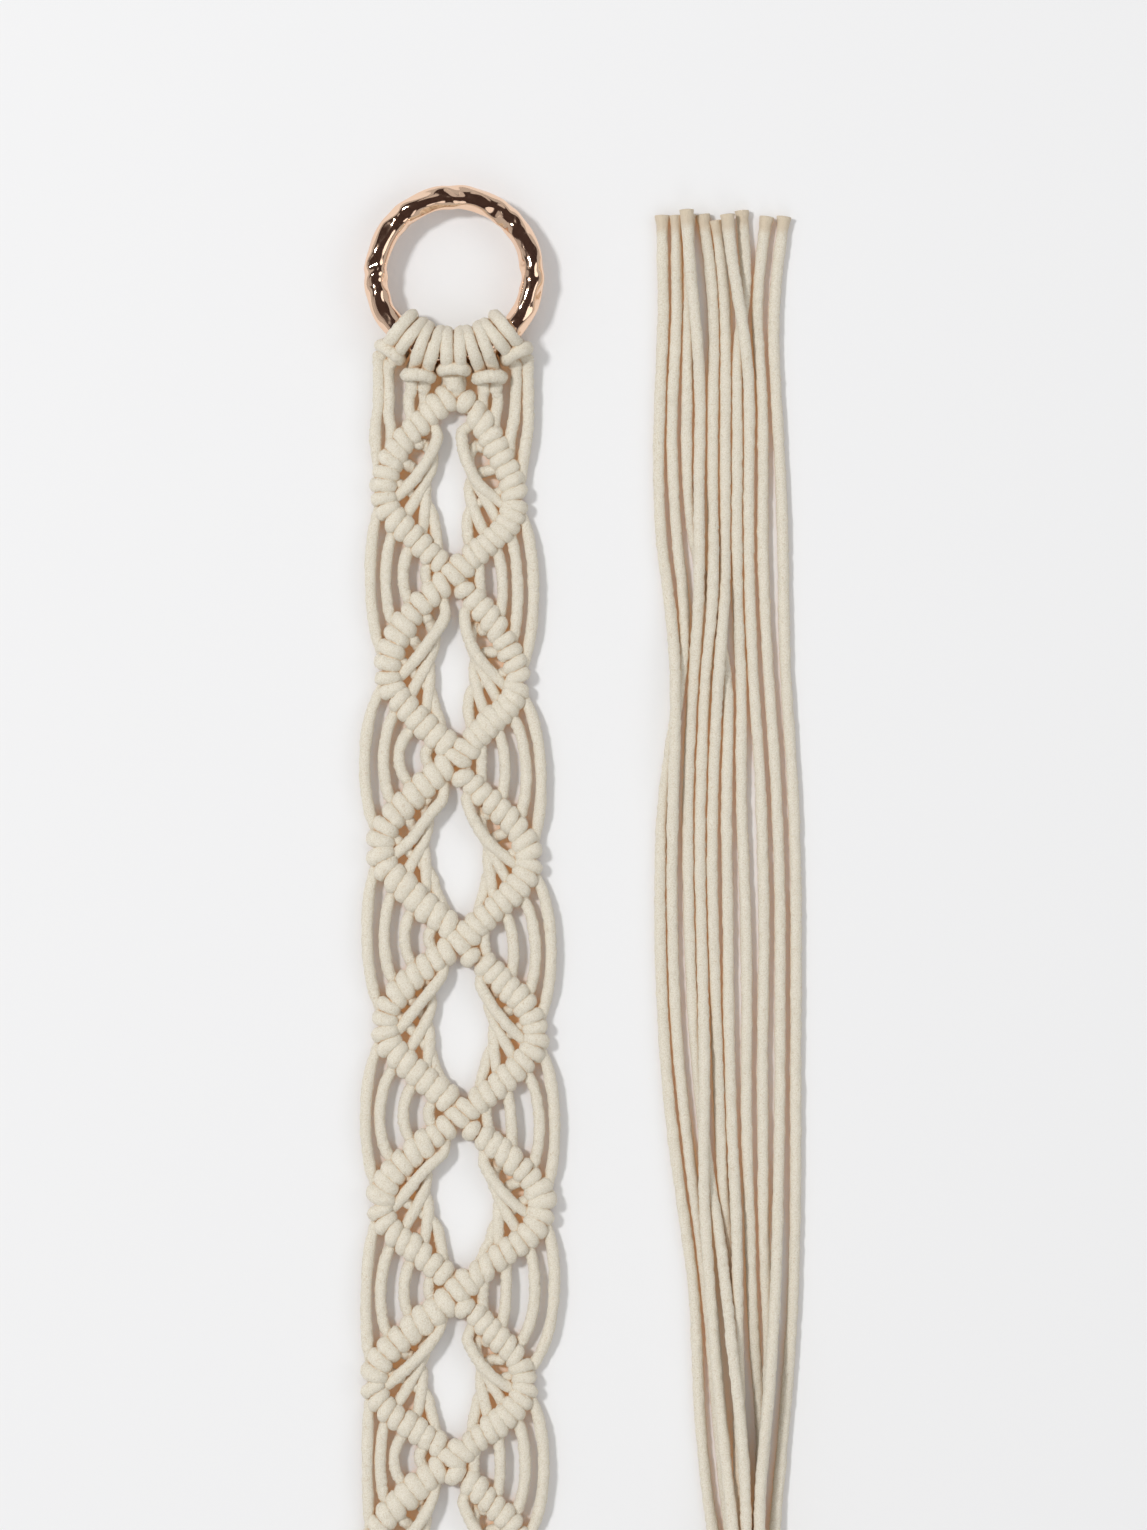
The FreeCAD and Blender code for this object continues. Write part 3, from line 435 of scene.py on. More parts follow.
# ------------------------------------------------------------------ fringe
# The same ten strands beyond the wrap, loose and cut to nearly one length. They cross each other
# here and there, and each cut end has frayed a little wider and darker.
FRINGE_ROUTES = [
    [
        (0.04635, -0.187, 0.00615), (0.0463, -0.167, 0.006), (0.0453, -0.1497, 0.0036),
        (0.0437, -0.1297, 0.002), (0.0415, -0.1097, 0.002), (0.0397, -0.0897, 0.002),
        (0.038, -0.0697, 0.002), (0.0363, -0.0513, 0.002), (0.0343, -0.0347, 0.002),
        (0.032, -0.018, 0.002), (0.0297, 0.0003, 0.002), (0.0275, 0.0207, 0.002),
        (0.0258, 0.0437, 0.002), (0.025, 0.0687, 0.002), (0.025, 0.092, 0.0024),
        (0.0253, 0.1127, 0.006), (0.026, 0.132, 0.006), (0.0261, 0.152, 0.006),
        (0.0253, 0.1663, 0.0036), (0.0237, 0.1803, 0.002), (0.0213, 0.197, 0.002),
        (0.0205, 0.217, 0.002), (0.0207, 0.237, 0.002), (0.0215, 0.2553, 0.002),
        (0.0223, 0.2737, 0.002), (0.0218, 0.2897, 0.002), (0.0217, 0.3047, 0.002),
    ],
    [
        (0.04437, -0.187, 0.0096), (0.0437, -0.1647, 0.0088), (0.041, -0.1463, 0.004),
        (0.0377, -0.128, 0.002), (0.035, -0.1047, 0.002), (0.0337, -0.0847, 0.002),
        (0.0332, -0.0647, 0.002), (0.0317, -0.0463, 0.002), (0.0288, -0.0273, 0.002),
        (0.0253, -0.0017, 0.002), (0.023, 0.0207, 0.002), (0.0217, 0.0437, 0.002),
        (0.021, 0.067, 0.002), (0.021, 0.0887, 0.002), (0.0218, 0.107, 0.002), (0.0237, 0.123, 0.002),
        (0.0263, 0.1387, 0.002), (0.0284, 0.153, 0.002), (0.0293, 0.1663, 0.002),
        (0.0287, 0.1797, 0.002), (0.0267, 0.1953, 0.002), (0.0253, 0.217, 0.002),
        (0.0248, 0.237, 0.002), (0.0258, 0.2553, 0.002), (0.0267, 0.2737, 0.002),
        (0.0265, 0.2897, 0.002), (0.0263, 0.3047, 0.002),
    ],
    [
        (0.04832, -0.187, 0.0096), (0.0484, -0.1663, 0.0096), (0.0483, -0.148, 0.008),
        (0.048, -0.128, 0.006), (0.0477, -0.108, 0.006), (0.0473, -0.088, 0.006),
        (0.0468, -0.068, 0.006), (0.0467, -0.0497, 0.006), (0.0464, -0.0323, 0.006),
        (0.0457, -0.0163, 0.0044), (0.0449, 0.0003, 0.002), (0.0443, 0.0207, 0.002),
        (0.0438, 0.0437, 0.002), (0.0437, 0.067, 0.002), (0.0432, 0.0937, 0.002),
        (0.0432, 0.1153, 0.002), (0.0438, 0.1363, 0.002), (0.0433, 0.152, 0.002),
        (0.041, 0.1647, 0.002), (0.0377, 0.176, 0.002), (0.034, 0.1883, 0.002), (0.0313, 0.202, 0.002),
        (0.03, 0.2177, 0.002), (0.0298, 0.237, 0.002), (0.0302, 0.2553, 0.002), (0.0306, 0.2737, 0.002),
        (0.0307, 0.2897, 0.002), (0.0305, 0.305, 0.002),
    ],
    [
        (0.0503, -0.187, 0.01305), (0.0503, -0.167, 0.013), (0.0501, -0.1497, 0.0116),
        (0.0495, -0.133, 0.01), (0.0492, -0.118, 0.01), (0.0483, -0.103, 0.01), (0.0467, -0.0873, 0.01),
        (0.0448, -0.072, 0.01), (0.0435, -0.0587, 0.0084), (0.0423, -0.0483, 0.0064),
        (0.0412, -0.038, 0.006), (0.0397, -0.0283, 0.0044), (0.0378, -0.018, 0.0024),
        (0.0363, -0.0063, 0.002), (0.0348, 0.007, 0.002), (0.0332, 0.0237, 0.002),
        (0.0316, 0.0437, 0.002), (0.0308, 0.0663, 0.002), (0.0303, 0.087, 0.002),
        (0.0302, 0.107, 0.002), (0.0307, 0.1253, 0.002), (0.0316, 0.142, 0.002),
        (0.0329, 0.1603, 0.003), (0.0339, 0.1753, 0.006), (0.034, 0.1897, 0.006),
        (0.0339, 0.2053, 0.006), (0.0339, 0.2177, 0.0032), (0.0343, 0.2303, 0.002),
        (0.0343, 0.2453, 0.0024), (0.0336, 0.2613, 0.0056), (0.032, 0.277, 0.006),
        (0.0305, 0.292, 0.006), (0.0297, 0.3063, 0.006),
    ],
    [
        (0.04635, -0.187, 0.01305), (0.0463, -0.1657, 0.013), (0.046, -0.1463, 0.0116),
        (0.0447, -0.1263, 0.01), (0.0423, -0.1047, 0.0068), (0.0403, -0.0847, 0.006),
        (0.0387, -0.0647, 0.006), (0.037, -0.0447, 0.006), (0.0356, -0.0247, 0.006),
        (0.0354, -0.0063, 0.006), (0.0357, 0.012, 0.006), (0.0356, 0.0287, 0.0056),
        (0.0354, 0.0437, 0.0028), (0.0348, 0.0663, 0.002), (0.0343, 0.0837, 0.002),
        (0.0343, 0.102, 0.002), (0.0348, 0.122, 0.002), (0.0355, 0.1397, 0.002),
        (0.0365, 0.1553, 0.0036), (0.038, 0.1697, 0.006), (0.0387, 0.1863, 0.006),
        (0.0387, 0.2003, 0.0036), (0.0384, 0.2137, 0.002), (0.0386, 0.2303, 0.002),
        (0.0387, 0.2487, 0.002), (0.039, 0.267, 0.002), (0.0383, 0.282, 0.002), (0.0368, 0.2953, 0.002),
        (0.0352, 0.305, 0.002),
    ],
    [
        (0.0503, -0.187, 0.00615), (0.0503, -0.167, 0.006), (0.0493, -0.1497, 0.0036),
        (0.0478, -0.1297, 0.002), (0.0472, -0.1097, 0.002), (0.047, -0.0913, 0.002),
        (0.0463, -0.073, 0.002), (0.0457, -0.058, 0.002), (0.0445, -0.043, 0.002),
        (0.043, -0.029, 0.002), (0.0418, -0.0157, 0.002), (0.041, 0.0003, 0.002),
        (0.0403, 0.0207, 0.002), (0.0395, 0.0437, 0.002), (0.0388, 0.0663, 0.002),
        (0.0384, 0.0837, 0.002), (0.0384, 0.102, 0.002), (0.0389, 0.122, 0.002),
        (0.0397, 0.1387, 0.0032), (0.0406, 0.1543, 0.006), (0.0419, 0.1697, 0.006),
        (0.0426, 0.183, 0.004), (0.0426, 0.197, 0.002), (0.0428, 0.2137, 0.002),
        (0.0427, 0.2303, 0.002), (0.0428, 0.247, 0.002), (0.0429, 0.2653, 0.002),
        (0.0423, 0.2803, 0.002), (0.041, 0.292, 0.002), (0.0397, 0.303, 0.002),
    ],
    [
        (0.05228, -0.187, 0.0096), (0.0523, -0.167, 0.0094), (0.0525, -0.1497, 0.008),
        (0.0532, -0.133, 0.0064), (0.0543, -0.118, 0.006), (0.056, -0.1013, 0.006),
        (0.0572, -0.0837, 0.006), (0.057, -0.0647, 0.0028), (0.056, -0.0463, 0.002),
        (0.0553, -0.0273, 0.002), (0.0553, -0.0017, 0.002), (0.055, 0.0207, 0.002),
        (0.0554, 0.0437, 0.002), (0.0557, 0.0663, 0.002), (0.0555, 0.0837, 0.002),
        (0.055, 0.102, 0.002), (0.0542, 0.122, 0.002), (0.0527, 0.1403, 0.002), (0.0516, 0.1603, 0.002),
        (0.051, 0.177, 0.002), (0.0506, 0.1937, 0.002), (0.0505, 0.212, 0.002), (0.0508, 0.2303, 0.002),
        (0.0507, 0.2477, 0.0032), (0.0491, 0.2643, 0.006), (0.0467, 0.2787, 0.006),
        (0.0445, 0.292, 0.006), (0.0432, 0.3047, 0.006),
    ],
    [
        (0.05425, -0.187, 0.00615), (0.0543, -0.167, 0.0059), (0.054, -0.148, 0.0032),
        (0.054, -0.128, 0.002), (0.0547, -0.1113, 0.002), (0.0547, -0.0963, 0.002),
        (0.0535, -0.0823, 0.002), (0.052, -0.0647, 0.002), (0.0513, -0.0463, 0.002),
        (0.0507, -0.0247, 0.002), (0.0498, -0.0017, 0.002), (0.0497, 0.0207, 0.002),
        (0.05, 0.0437, 0.002), (0.0497, 0.0663, 0.002), (0.049, 0.0853, 0.002), (0.0482, 0.1053, 0.002),
        (0.048, 0.1253, 0.002), (0.0482, 0.1453, 0.002), (0.0473, 0.1653, 0.002),
        (0.0467, 0.1837, 0.002), (0.0466, 0.202, 0.002), (0.0468, 0.2237, 0.002),
        (0.0467, 0.242, 0.002), (0.0468, 0.2553, 0.002), (0.0475, 0.2653, 0.002),
        (0.049, 0.2743, 0.002), (0.0497, 0.2843, 0.002), (0.0491, 0.2953, 0.002),
        (0.0482, 0.3063, 0.002),
    ],
    [
        (0.05425, -0.187, 0.01305), (0.0543, -0.167, 0.013), (0.0542, -0.147, 0.0116),
        (0.0537, -0.1263, 0.01), (0.0547, -0.1097, 0.01), (0.0562, -0.0947, 0.01),
        (0.0575, -0.0803, 0.01), (0.0588, -0.0613, 0.0068), (0.0597, -0.0437, 0.006),
        (0.0602, -0.0257, 0.0032), (0.0608, -0.0017, 0.002), (0.061, 0.0207, 0.002),
        (0.061, 0.0437, 0.002), (0.0611, 0.0663, 0.002), (0.0608, 0.0837, 0.002),
        (0.0603, 0.102, 0.002), (0.0593, 0.122, 0.002), (0.058, 0.1397, 0.002), (0.0567, 0.1587, 0.002),
        (0.0558, 0.177, 0.002), (0.0552, 0.1937, 0.002), (0.0553, 0.2103, 0.002),
        (0.0553, 0.227, 0.002), (0.0552, 0.242, 0.002), (0.0543, 0.2553, 0.002),
        (0.0533, 0.2677, 0.002), (0.0537, 0.2803, 0.002), (0.0548, 0.293, 0.002),
        (0.0565, 0.3043, 0.002),
    ],
    [
        (0.05623, -0.187, 0.0096), (0.0565, -0.1663, 0.0095), (0.0577, -0.147, 0.006),
        (0.0597, -0.1263, 0.002), (0.0617, -0.1047, 0.002), (0.0632, -0.0863, 0.002),
        (0.0645, -0.0697, 0.002), (0.0655, -0.0497, 0.002), (0.066, -0.0273, 0.002),
        (0.0662, -0.0017, 0.002), (0.0661, 0.0207, 0.002), (0.0663, 0.0437, 0.002),
        (0.0663, 0.0663, 0.002), (0.0662, 0.0837, 0.002), (0.0658, 0.102, 0.002),
        (0.0648, 0.122, 0.002), (0.0635, 0.1397, 0.002), (0.0625, 0.1587, 0.002),
        (0.0622, 0.177, 0.002), (0.062, 0.1937, 0.002), (0.0613, 0.2153, 0.002),
        (0.0603, 0.2337, 0.002), (0.0594, 0.2487, 0.002), (0.0587, 0.2637, 0.002),
        (0.0592, 0.2787, 0.002), (0.0607, 0.293, 0.002), (0.0623, 0.3043, 0.002),
    ],
]
FRAY_SPREAD = 0.25
FRAY_LENGTH = 2.5

for number, route in enumerate(FRINGE_ROUTES, start=1):
    line = soft_line(route, 0.001)
    run = run_along(line)
    to_the_end = (run[-1] - run) / MM
    radius = HALF_CORD + FRAY_SPREAD * np.exp(-to_the_end / FRAY_LENGTH)
    yarn = Yarn().tube(line / MM, radius, swell=0.035, frayed_end=1.0)
    cord = yarn.build("soft_fringe_%02d" % number, cream_cotton)
    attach(cord, "band")
    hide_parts("fringe_cord_%02d" % number)

# ------------------------------------------------------------------ ring
# One polished metal ring with a rose finish, hammered all over. The blows left shallow, nearly flat
# faces with soft edges, and slanting ripples that come and go round it.
RING = np.array((-47.5, 284.5, 8.1))
RING_RADIUS = 26
RING_TUBE = 3.98
BLOWS = 170
SOFT_EDGE = 0.07


def hammered_ring():
    around, section = 420, 72
    turn = np.arange(around) * 2 * math.pi / around
    roll = np.arange(section) * 2 * math.pi / section
    turn, roll = np.meshgrid(turn, roll, indexing="ij")
    tube = np.full_like(turn, RING_TUBE)
    for _ in range(BLOWS):
        blow_turn = dice.uniform(0, 6.283)
        blow_roll = dice.uniform(0, 6.283)
        lean = dice.uniform(-0.7, 0.7)
        off_turn = np.angle(np.exp(1j * (turn - blow_turn))) * RING_RADIUS
        off_roll = np.angle(np.exp(1j * (roll - blow_roll + off_turn * 0.04 * lean)))
        face = (RING_TUBE - dice.uniform(0.1, 0.5)) / np.maximum(np.cos(off_roll), 0.3)
        face = face + off_turn ** 2 * dice.uniform(0.012, 0.05)
        # the smaller of the two, with a soft edge where they meet
        tube = -SOFT_EDGE * np.log(np.exp(-tube / SOFT_EDGE) + np.exp(-face / SOFT_EDGE))
    drift = sum(dice.uniform(0.5, 1.0) * np.sin(n * turn + dice.uniform(0, 6.28)) for n in (3, 5, 8))
    depth = 0.2 + 0.06 * np.sin(4 * turn + 1.0) + 0.05 * np.sin(9 * turn)
    ripple = np.sin(17 * turn + 2.8 * np.sin(roll - 0.6) + 1.0 * drift)
    tube -= depth * (0.6 + 0.4 * np.sin(roll)) * ripple
    out = RING_RADIUS + tube * np.cos(roll)
    points = np.stack([out * np.cos(turn), out * np.sin(turn), tube * np.sin(roll)], -1) + RING
    faces = []
    for i in range(around):
        here = i * section
        there = (i + 1) % around * section
        for k in range(section):
            after = (k + 1) % section
            faces.append((here + k, there + k, there + after, here + after))
    mesh = bpy.data.meshes.new("ring")
    mesh.from_pydata((points.reshape(-1, 3) * MM).tolist(), [], faces)
    mesh.polygons.foreach_set("use_smooth", [True] * len(faces))
    thing = bpy.data.objects.new("hammered_ring", mesh)
    bpy.context.scene.collection.objects.link(thing)
    return thing


def rose_metal():
    """Polished metal with faint cloudy marks in its gloss."""
    rose = Finish("rose_metal")
    rose.feed("Base Color", (0.95, 0.68, 0.5, 1))
    rose.feed("Metallic", 1.0)
    place = rose.node("TexCoord", {}, {}, "Object")
    rose.feed("Roughness", rose.speckle(place, 900.0, 2.0, 0.5).between(0.2, 0.9) * 0.07 + 0.07)
    return rose.material


ring = hammered_ring()
ring.data.materials.append(rose_metal())
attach(ring, "ring")
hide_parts("hanging_ring")

# ------------------------------------------------------------------ lark's heads
# Five cords, each folded in half on the ring: two turns over the ring and a bar across them in
# front. The two strands pass under the bar and leave below it. Only friction holds them.
HITCH_ANGLES = (-39.6, -19.6, 0.0, 19.2, 38.6)
BAR_REACHES = (32.9, 35.2, 31.2, 35.7, 33.0)
BAR_TILTS = (-36.0, -4.0, 0.0, 3.0, 28.0)
BAR_TOPS = (11.0, 11.0, 13.0, 11.0, 11.0)
HALF_HITCH_CORD = 2.2


def by_ring(angle, sideways, out, height):
    """A place by its angle round the ring's foot, how far it lies to the side and out, and its height."""
    angle = math.radians(angle)
    outward = np.array((math.sin(angle), -math.cos(angle), 0))
    side = np.array((math.cos(angle), math.sin(angle), 0))
    return np.array((RING[0], RING[1], 0)) + outward * out + side * sideways + np.array((0, 0, height))


def by_bar(angle, tilt, reach, along, below, height):
    """A place by how far along a hitch's bar it is, and how far below it."""
    tilt = math.radians(tilt)
    along_bar = np.array((math.cos(tilt), math.sin(tilt), 0))
    below_bar = np.array((math.sin(tilt), -math.cos(tilt), 0))
    return by_ring(angle, 0, reach, height) + along_bar * along + below_bar * below


def hitch_half(angle, reach, tilt, top, side):
    """One strand: in under the bar, over the ring and back behind it, then round into the bar."""
    under_bar = [(2.0, 4.4, 4.6), (2.0, 2.4, 4.9), (2.05, 0.2, 5.4)]
    over_ring = [
        (2.15, min(31.4, reach - 0.6), 9.2), (2.15, 29.4, 12.9), (2.15, 26.4, 15.5), (2.15, 21.6, 14.9),
        (2.15, 18.9, 10.8), (2.15, 18.9, 5.2), (2.2, 22.0, 2.3), (2.3, 26.0, 2.2), (2.5, 28.4, 2.4),
    ]
    into_bar = [(3.2, 0.2, 3.4), (4.0, 0.2, 6.4), (3.5, 0.0, top - 1.2), (1.6, 0.0, top), (0.0, 0.0, top)]
    route = [by_bar(angle, tilt, reach, side * along, below, height) for along, below, height in under_bar]
    route += [by_ring(angle, side * sideways, out, height) for sideways, out, height in over_ring]
    route += [by_bar(angle, tilt, reach, side * along, below, height) for along, below, height in into_bar]
    return route


# below the middle bar its two strands show once more, as one plump turn
PLUMP_TURN = [
    (-48.3, 254.5, 4.4), (-48.1, 252.8, 6.4), (-47.6, 249.8, 6.9), (-47.0, 247.6, 5.4), (-46.8, 246.4, 3.6),
]
exits = {}
hitches = zip(HITCH_ANGLES, BAR_REACHES, BAR_TILTS, BAR_TOPS)
for number, (angle, reach, tilt, top) in enumerate(hitches, start=1):
    left = hitch_half(angle, reach, tilt, top, -1)
    right = hitch_half(angle, reach, tilt, top, 1)
    exits[2 * number - 1] = left[0]
    exits[2 * number] = right[0]
    yarn = Yarn().tube(soft_line(left + right[-2::-1], 0.7), HALF_HITCH_CORD, swell=0.05)
    if number == 3:
        yarn.tube(soft_line(PLUMP_TURN, 0.7), 3.2, swell=0.04)
    hitch = yarn.build("hitch_%d" % number, cream_cotton)
    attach(hitch, "ring_hitches")
    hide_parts("larks_head_knot_%d" % number)

# ------------------------------------------------------------------ knot rows
# Two leaders zigzag down the band and frame seven diamonds. Each other strand is wound round every
# leader it meets in a double half hitch, which shows as a pair of plump turns.
CROSSINGS = [
    (-48.8, 245.1), (-46.1, 186.8), (-44.7, 125.8), (-44.0, 64.1),
    (-44.7, 6.4), (-45.2, -51.3), (-46.9, -107.5), (-47.3, -166.3),
]
# the leaders between one crossing and the next, left then right
LEADERS = [
    [
        [(-53, 242), (-58, 236.5), (-64.5, 230), (-69.5, 222), (-71.3, 214), (-70.5, 207),
         (-66, 202.3), (-61, 197.7), (-57, 193.3), (-53, 189.5)],
        [(-41.5, 240), (-38, 236), (-34.3, 229.5), (-31.3, 223.5), (-28.3, 217), (-26.6, 210.5),
         (-27.6, 205), (-31, 200.5), (-35, 196.5), (-39, 193), (-43, 190)],
    ],
    [
        [(-53, 180.5), (-58, 176), (-62.7, 170.5), (-67, 164), (-69.6, 157.5), (-69.9, 151),
         (-68, 146), (-64, 141.5), (-60, 137.5), (-56, 133.5), (-51, 129.3)],
        [(-44, 181), (-40, 176), (-35.5, 170.5), (-31.5, 164.5), (-28.3, 158.5), (-26.6, 152),
         (-26.6, 147), (-28.5, 143), (-32.5, 139), (-36.5, 135), (-40.5, 131)],
    ],
    [
        [(-52, 120.3), (-56.5, 116), (-61, 111.5), (-66, 107), (-70.5, 102), (-72.5, 96.5), (-72, 91),
         (-70, 86.5), (-65, 82.5), (-60.5, 78.5), (-56.5, 74.5), (-52.5, 71), (-48.5, 68)],
        [(-43.5, 118), (-39.5, 113.5), (-35.5, 109.5), (-31, 105), (-27, 101), (-23.7, 96), (-22, 90.5),
         (-23.5, 85), (-27, 80.5), (-31, 76.5), (-35, 73), (-39.5, 69.5)],
    ],
    [
        [(-50, 60.5), (-55, 57), (-60, 52.5), (-65, 48), (-69, 43), (-70.5, 38), (-70.5, 32.5),
         (-69, 28), (-65, 24), (-60.5, 20), (-56.5, 16.5), (-52.5, 13), (-48, 9.5)],
        [(-41.5, 59), (-37, 55.5), (-33, 51.5), (-29, 47.5), (-25, 43.5), (-21.7, 38.5), (-20.1, 33),
         (-21.5, 27), (-25, 22.5), (-29, 19), (-33, 15.5), (-37, 12.5), (-41, 9.5)],
    ],
    [
        [(-49.5, 1.5), (-54, -2), (-59, -5.5), (-63.5, -9.5), (-68.3, -14), (-72, -20), (-72.4, -26),
         (-70.5, -30.5), (-66.5, -34.5), (-62, -38), (-58, -41.5), (-54, -44.5), (-49.5, -47.7)],
        [(-41.5, 1), (-36.5, -2.7), (-32, -6), (-28, -9.5), (-23.7, -13.5), (-20, -18), (-18, -24),
         (-19, -30), (-23, -34.7), (-27, -38), (-31.5, -41), (-36, -44.5), (-40.5, -47.7)],
    ],
    [
        [(-50, -56.3), (-55, -60.5), (-60, -64), (-65, -68), (-70, -72.5), (-74, -78), (-75, -84),
         (-73, -89), (-69, -93), (-64.5, -96.5), (-60, -99.5), (-56, -102), (-51, -104.7)],
        [(-43.8, -57), (-40, -61), (-36.5, -65), (-32.5, -69), (-28.5, -73), (-25, -77.5), (-23.4, -83),
         (-24.7, -88.5), (-29, -93.5), (-33, -97), (-37, -100), (-41.5, -103.7)],
    ],
    [
        [(-52.5, -111.7), (-57.5, -116), (-62, -120), (-67, -124.5), (-71.5, -129), (-74.5, -135),
         (-74.5, -141), (-70, -147), (-64.5, -151.5), (-59, -155.5), (-53, -160.5)],
        [(-47, -113), (-42.5, -116.7), (-38.5, -120), (-34.5, -123.7), (-30.7, -127.7), (-27.3, -132),
         (-24.8, -137), (-24.5, -142), (-27, -147), (-31.5, -151.5), (-36, -155.3), (-41, -160)],
    ],
]
LEADER_HEIGHT = 3.9
HALF_LEADER = 1.8
KNOTS_IN_A_ROW = 4
# how far from a crossing a row's first knot starts, and how far before the next one its last ends
ROW_START = {-1: 5.0, 1: 9.0}
FIRST_ROW_START = {-1: 7.5, 1: 9.0}
ROW_END = {-1: 4.8, 1: 4.3}
# a turn runs on under the leader by this angle at each end, and its section is a little boxy
TUCK = 0.35
POINTS_A_TURN = 28
BOXY = 0.8
# how uneven the hand's work is: a knot's size, its place, its lean and its reach to the side
UNEVEN_SIZE = 0.045
UNEVEN_PLACE = 0.15
UNEVEN_LEAN = 0.16
UNEVEN_REACH = 0.2


class Leader:
    """A leader's line on the surface, looked up by the distance along it."""

    def __init__(self, spots):
        self.line = soft_line([(x, y, 0) for x, y in spots], 0.5)[:, :2]
        self.run = run_along(self.line)
        self.length = self.run[-1]

    def spot(self, at):
        across = np.interp(at, self.run, self.line[:, 0])
        return np.stack([across, np.interp(at, self.run, self.line[:, 1])], -1)

    def ahead(self, at):
        step = self.spot(np.asarray(at) + 1.5) - self.spot(np.asarray(at) - 1.5)
        return step / np.linalg.norm(step, axis=-1, keepdims=True)

    def across(self, at):
        """To the right of someone looking up the band, square to the leader."""
        ahead = self.ahead(at)
        return np.stack([-ahead[..., 1], ahead[..., 0]], -1)


def wound(yarn, leader, at, pitch, enter, wide=2.25, tall=1.5, thick=2.38, turns=1.5, lift=0.0):
    """A strand wound round a leader: in on one side, over, under, over again and out on the other."""
    angle = np.linspace(-TUCK, turns * 2 * math.pi + TUCK, int(POINTS_A_TURN * turns))
    turn = angle / (2 * math.pi)
    grow = 1 + dice.gauss(0, UNEVEN_SIZE)
    # the turns lie side by side, and each crosses over in a short stretch underneath
    shift = (turn - turns / 2 - 0.1 * np.sin(2 * math.pi * (turn - 0.25))) * pitch
    shift = shift + dice.gauss(0, UNEVEN_PLACE)
    shift = shift + dice.gauss(0, UNEVEN_LEAN) * wide * np.cos(angle)
    side = np.sign(np.cos(angle)) * np.abs(np.cos(angle)) ** BOXY * wide * grow + dice.gauss(0, UNEVEN_REACH)
    height = np.sign(np.sin(angle)) * np.abs(np.sin(angle)) ** BOXY * tall
    flat = leader.spot(at + shift) + leader.across(at + shift) * (side * enter)[:, None]
    line = np.column_stack([flat, LEADER_HEIGHT + lift + height])
    # a turn swells where it lies on top and is pinched between its neighbours below
    plump = thick * grow * (1 + 0.05 * np.sin(angle))
    yarn.tube(line, plump, swell=0.05, up=(*leader.ahead(at), 0))


def port(leader, at, side, reach=1.6, height=2.25):
    """Where a strand leaves a knot, tucked beneath it on one side."""
    return np.append(leader.spot(at) + leader.across(at) * side * reach, height)


leaders = {}
outer_ports = {}
inner_ports = {}
lumps = {}
for number in range(1, 8):
    yarn = Yarn()
    for side in (-1, 1):
        spots = LEADERS[number - 1][0 if side < 0 else 1]
        leader = Leader([CROSSINGS[number - 1]] + spots + [CROSSINGS[number]])
        leaders[number, side] = leader
        corner = leader.run[np.argmax(leader.line[:, 0] * side)]
        start = (FIRST_ROW_START if number == 1 else ROW_START)[side]
        stop = leader.length - ROW_END[side]
        rows = (("upper", start, corner, side), ("lower", corner, stop, -side))
        for row, row_start, row_end, enter in rows:
            step = (row_end - row_start) / KNOTS_IN_A_ROW
            places = [row_start + (k + 0.5) * step for k in range(KNOTS_IN_A_ROW)]
            for place in places:
                wound(yarn, leader, place, step / 2, enter, thick=max(2.3, step * 0.29))
            outer_ports[number, side, row] = [port(leader, place, side) for place in places]
            inner_ports[number, side, row] = [port(leader, place, -side) for place in places]
            lumps[number, side, row] = [port(leader, place, -side, 4.3, 3.5) for place in places]
        core = np.column_stack([leader.line, np.full(len(leader.line), LEADER_HEIGHT)])
        yarn.tube(core[::3], HALF_LEADER, swell=0)
    knots = yarn.build("knots_%d" % number, cream_cotton)
    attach(knots, "band")
    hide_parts("diamond_%d_knot_rows" % number)

# ------------------------------------------------------------------ crossings
# Where the two leaders meet, the one from the right is wound with two turns of the other, which
# shows again just below as one small upright turn.
SMALL_TURNS = [(5.0, -2.4), (2.1, -6.6), (0.2, -8.0), (2.3, -6.0), (2.9, -6.0), (0.9, -7.0), (-0.4, -6.4)]
# where the leader comes in at the top of the band and leaves at its foot, beyond the diamonds
FROM_TOP = (6.5, 4.0)
TO_FOOT = (6.5, 5.0)
TOP_SHIFT = 3.2
# how far along the leaders the crossing's own line takes its direction
REACH_IN = 9
REACH_DOWN = 14
HALF_STEM = 6

for number in range(1, 9):
    yarn = Yarn()
    centre = np.array(CROSSINGS[number - 1], float)
    if number > 1:
        above = leaders[number - 1, 1]
        from_right = above.spot(above.length - REACH_IN)
    else:
        from_right = centre + FROM_TOP
    to_left = leaders[number, -1].spot(REACH_IN) if number < 8 else centre - TO_FOOT
    through = Leader([from_right, centre, to_left])
    middle = through.length / 2 + (TOP_SHIFT if number == 1 else 0)
    wound(yarn, through, middle, 4.3, 1, wide=2.6, tall=1.6, thick=2.5, lift=0.3)
    if number < 8:
        small = centre + SMALL_TURNS[number - 1]
        stem = leaders[number, 1].spot(REACH_DOWN) - centre
        stem *= HALF_STEM / np.linalg.norm(stem)
        upright = Leader([small - stem, small, small + stem])
        wound(yarn, upright, HALF_STEM, 2.0, 1, wide=1.5, tall=1.5, thick=2.45, turns=0.5, lift=0.2)
    crossing = yarn.build("crossing_%d" % number, cream_cotton)
    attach(crossing, "band")
    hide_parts("crossing_knot_%d" % number)

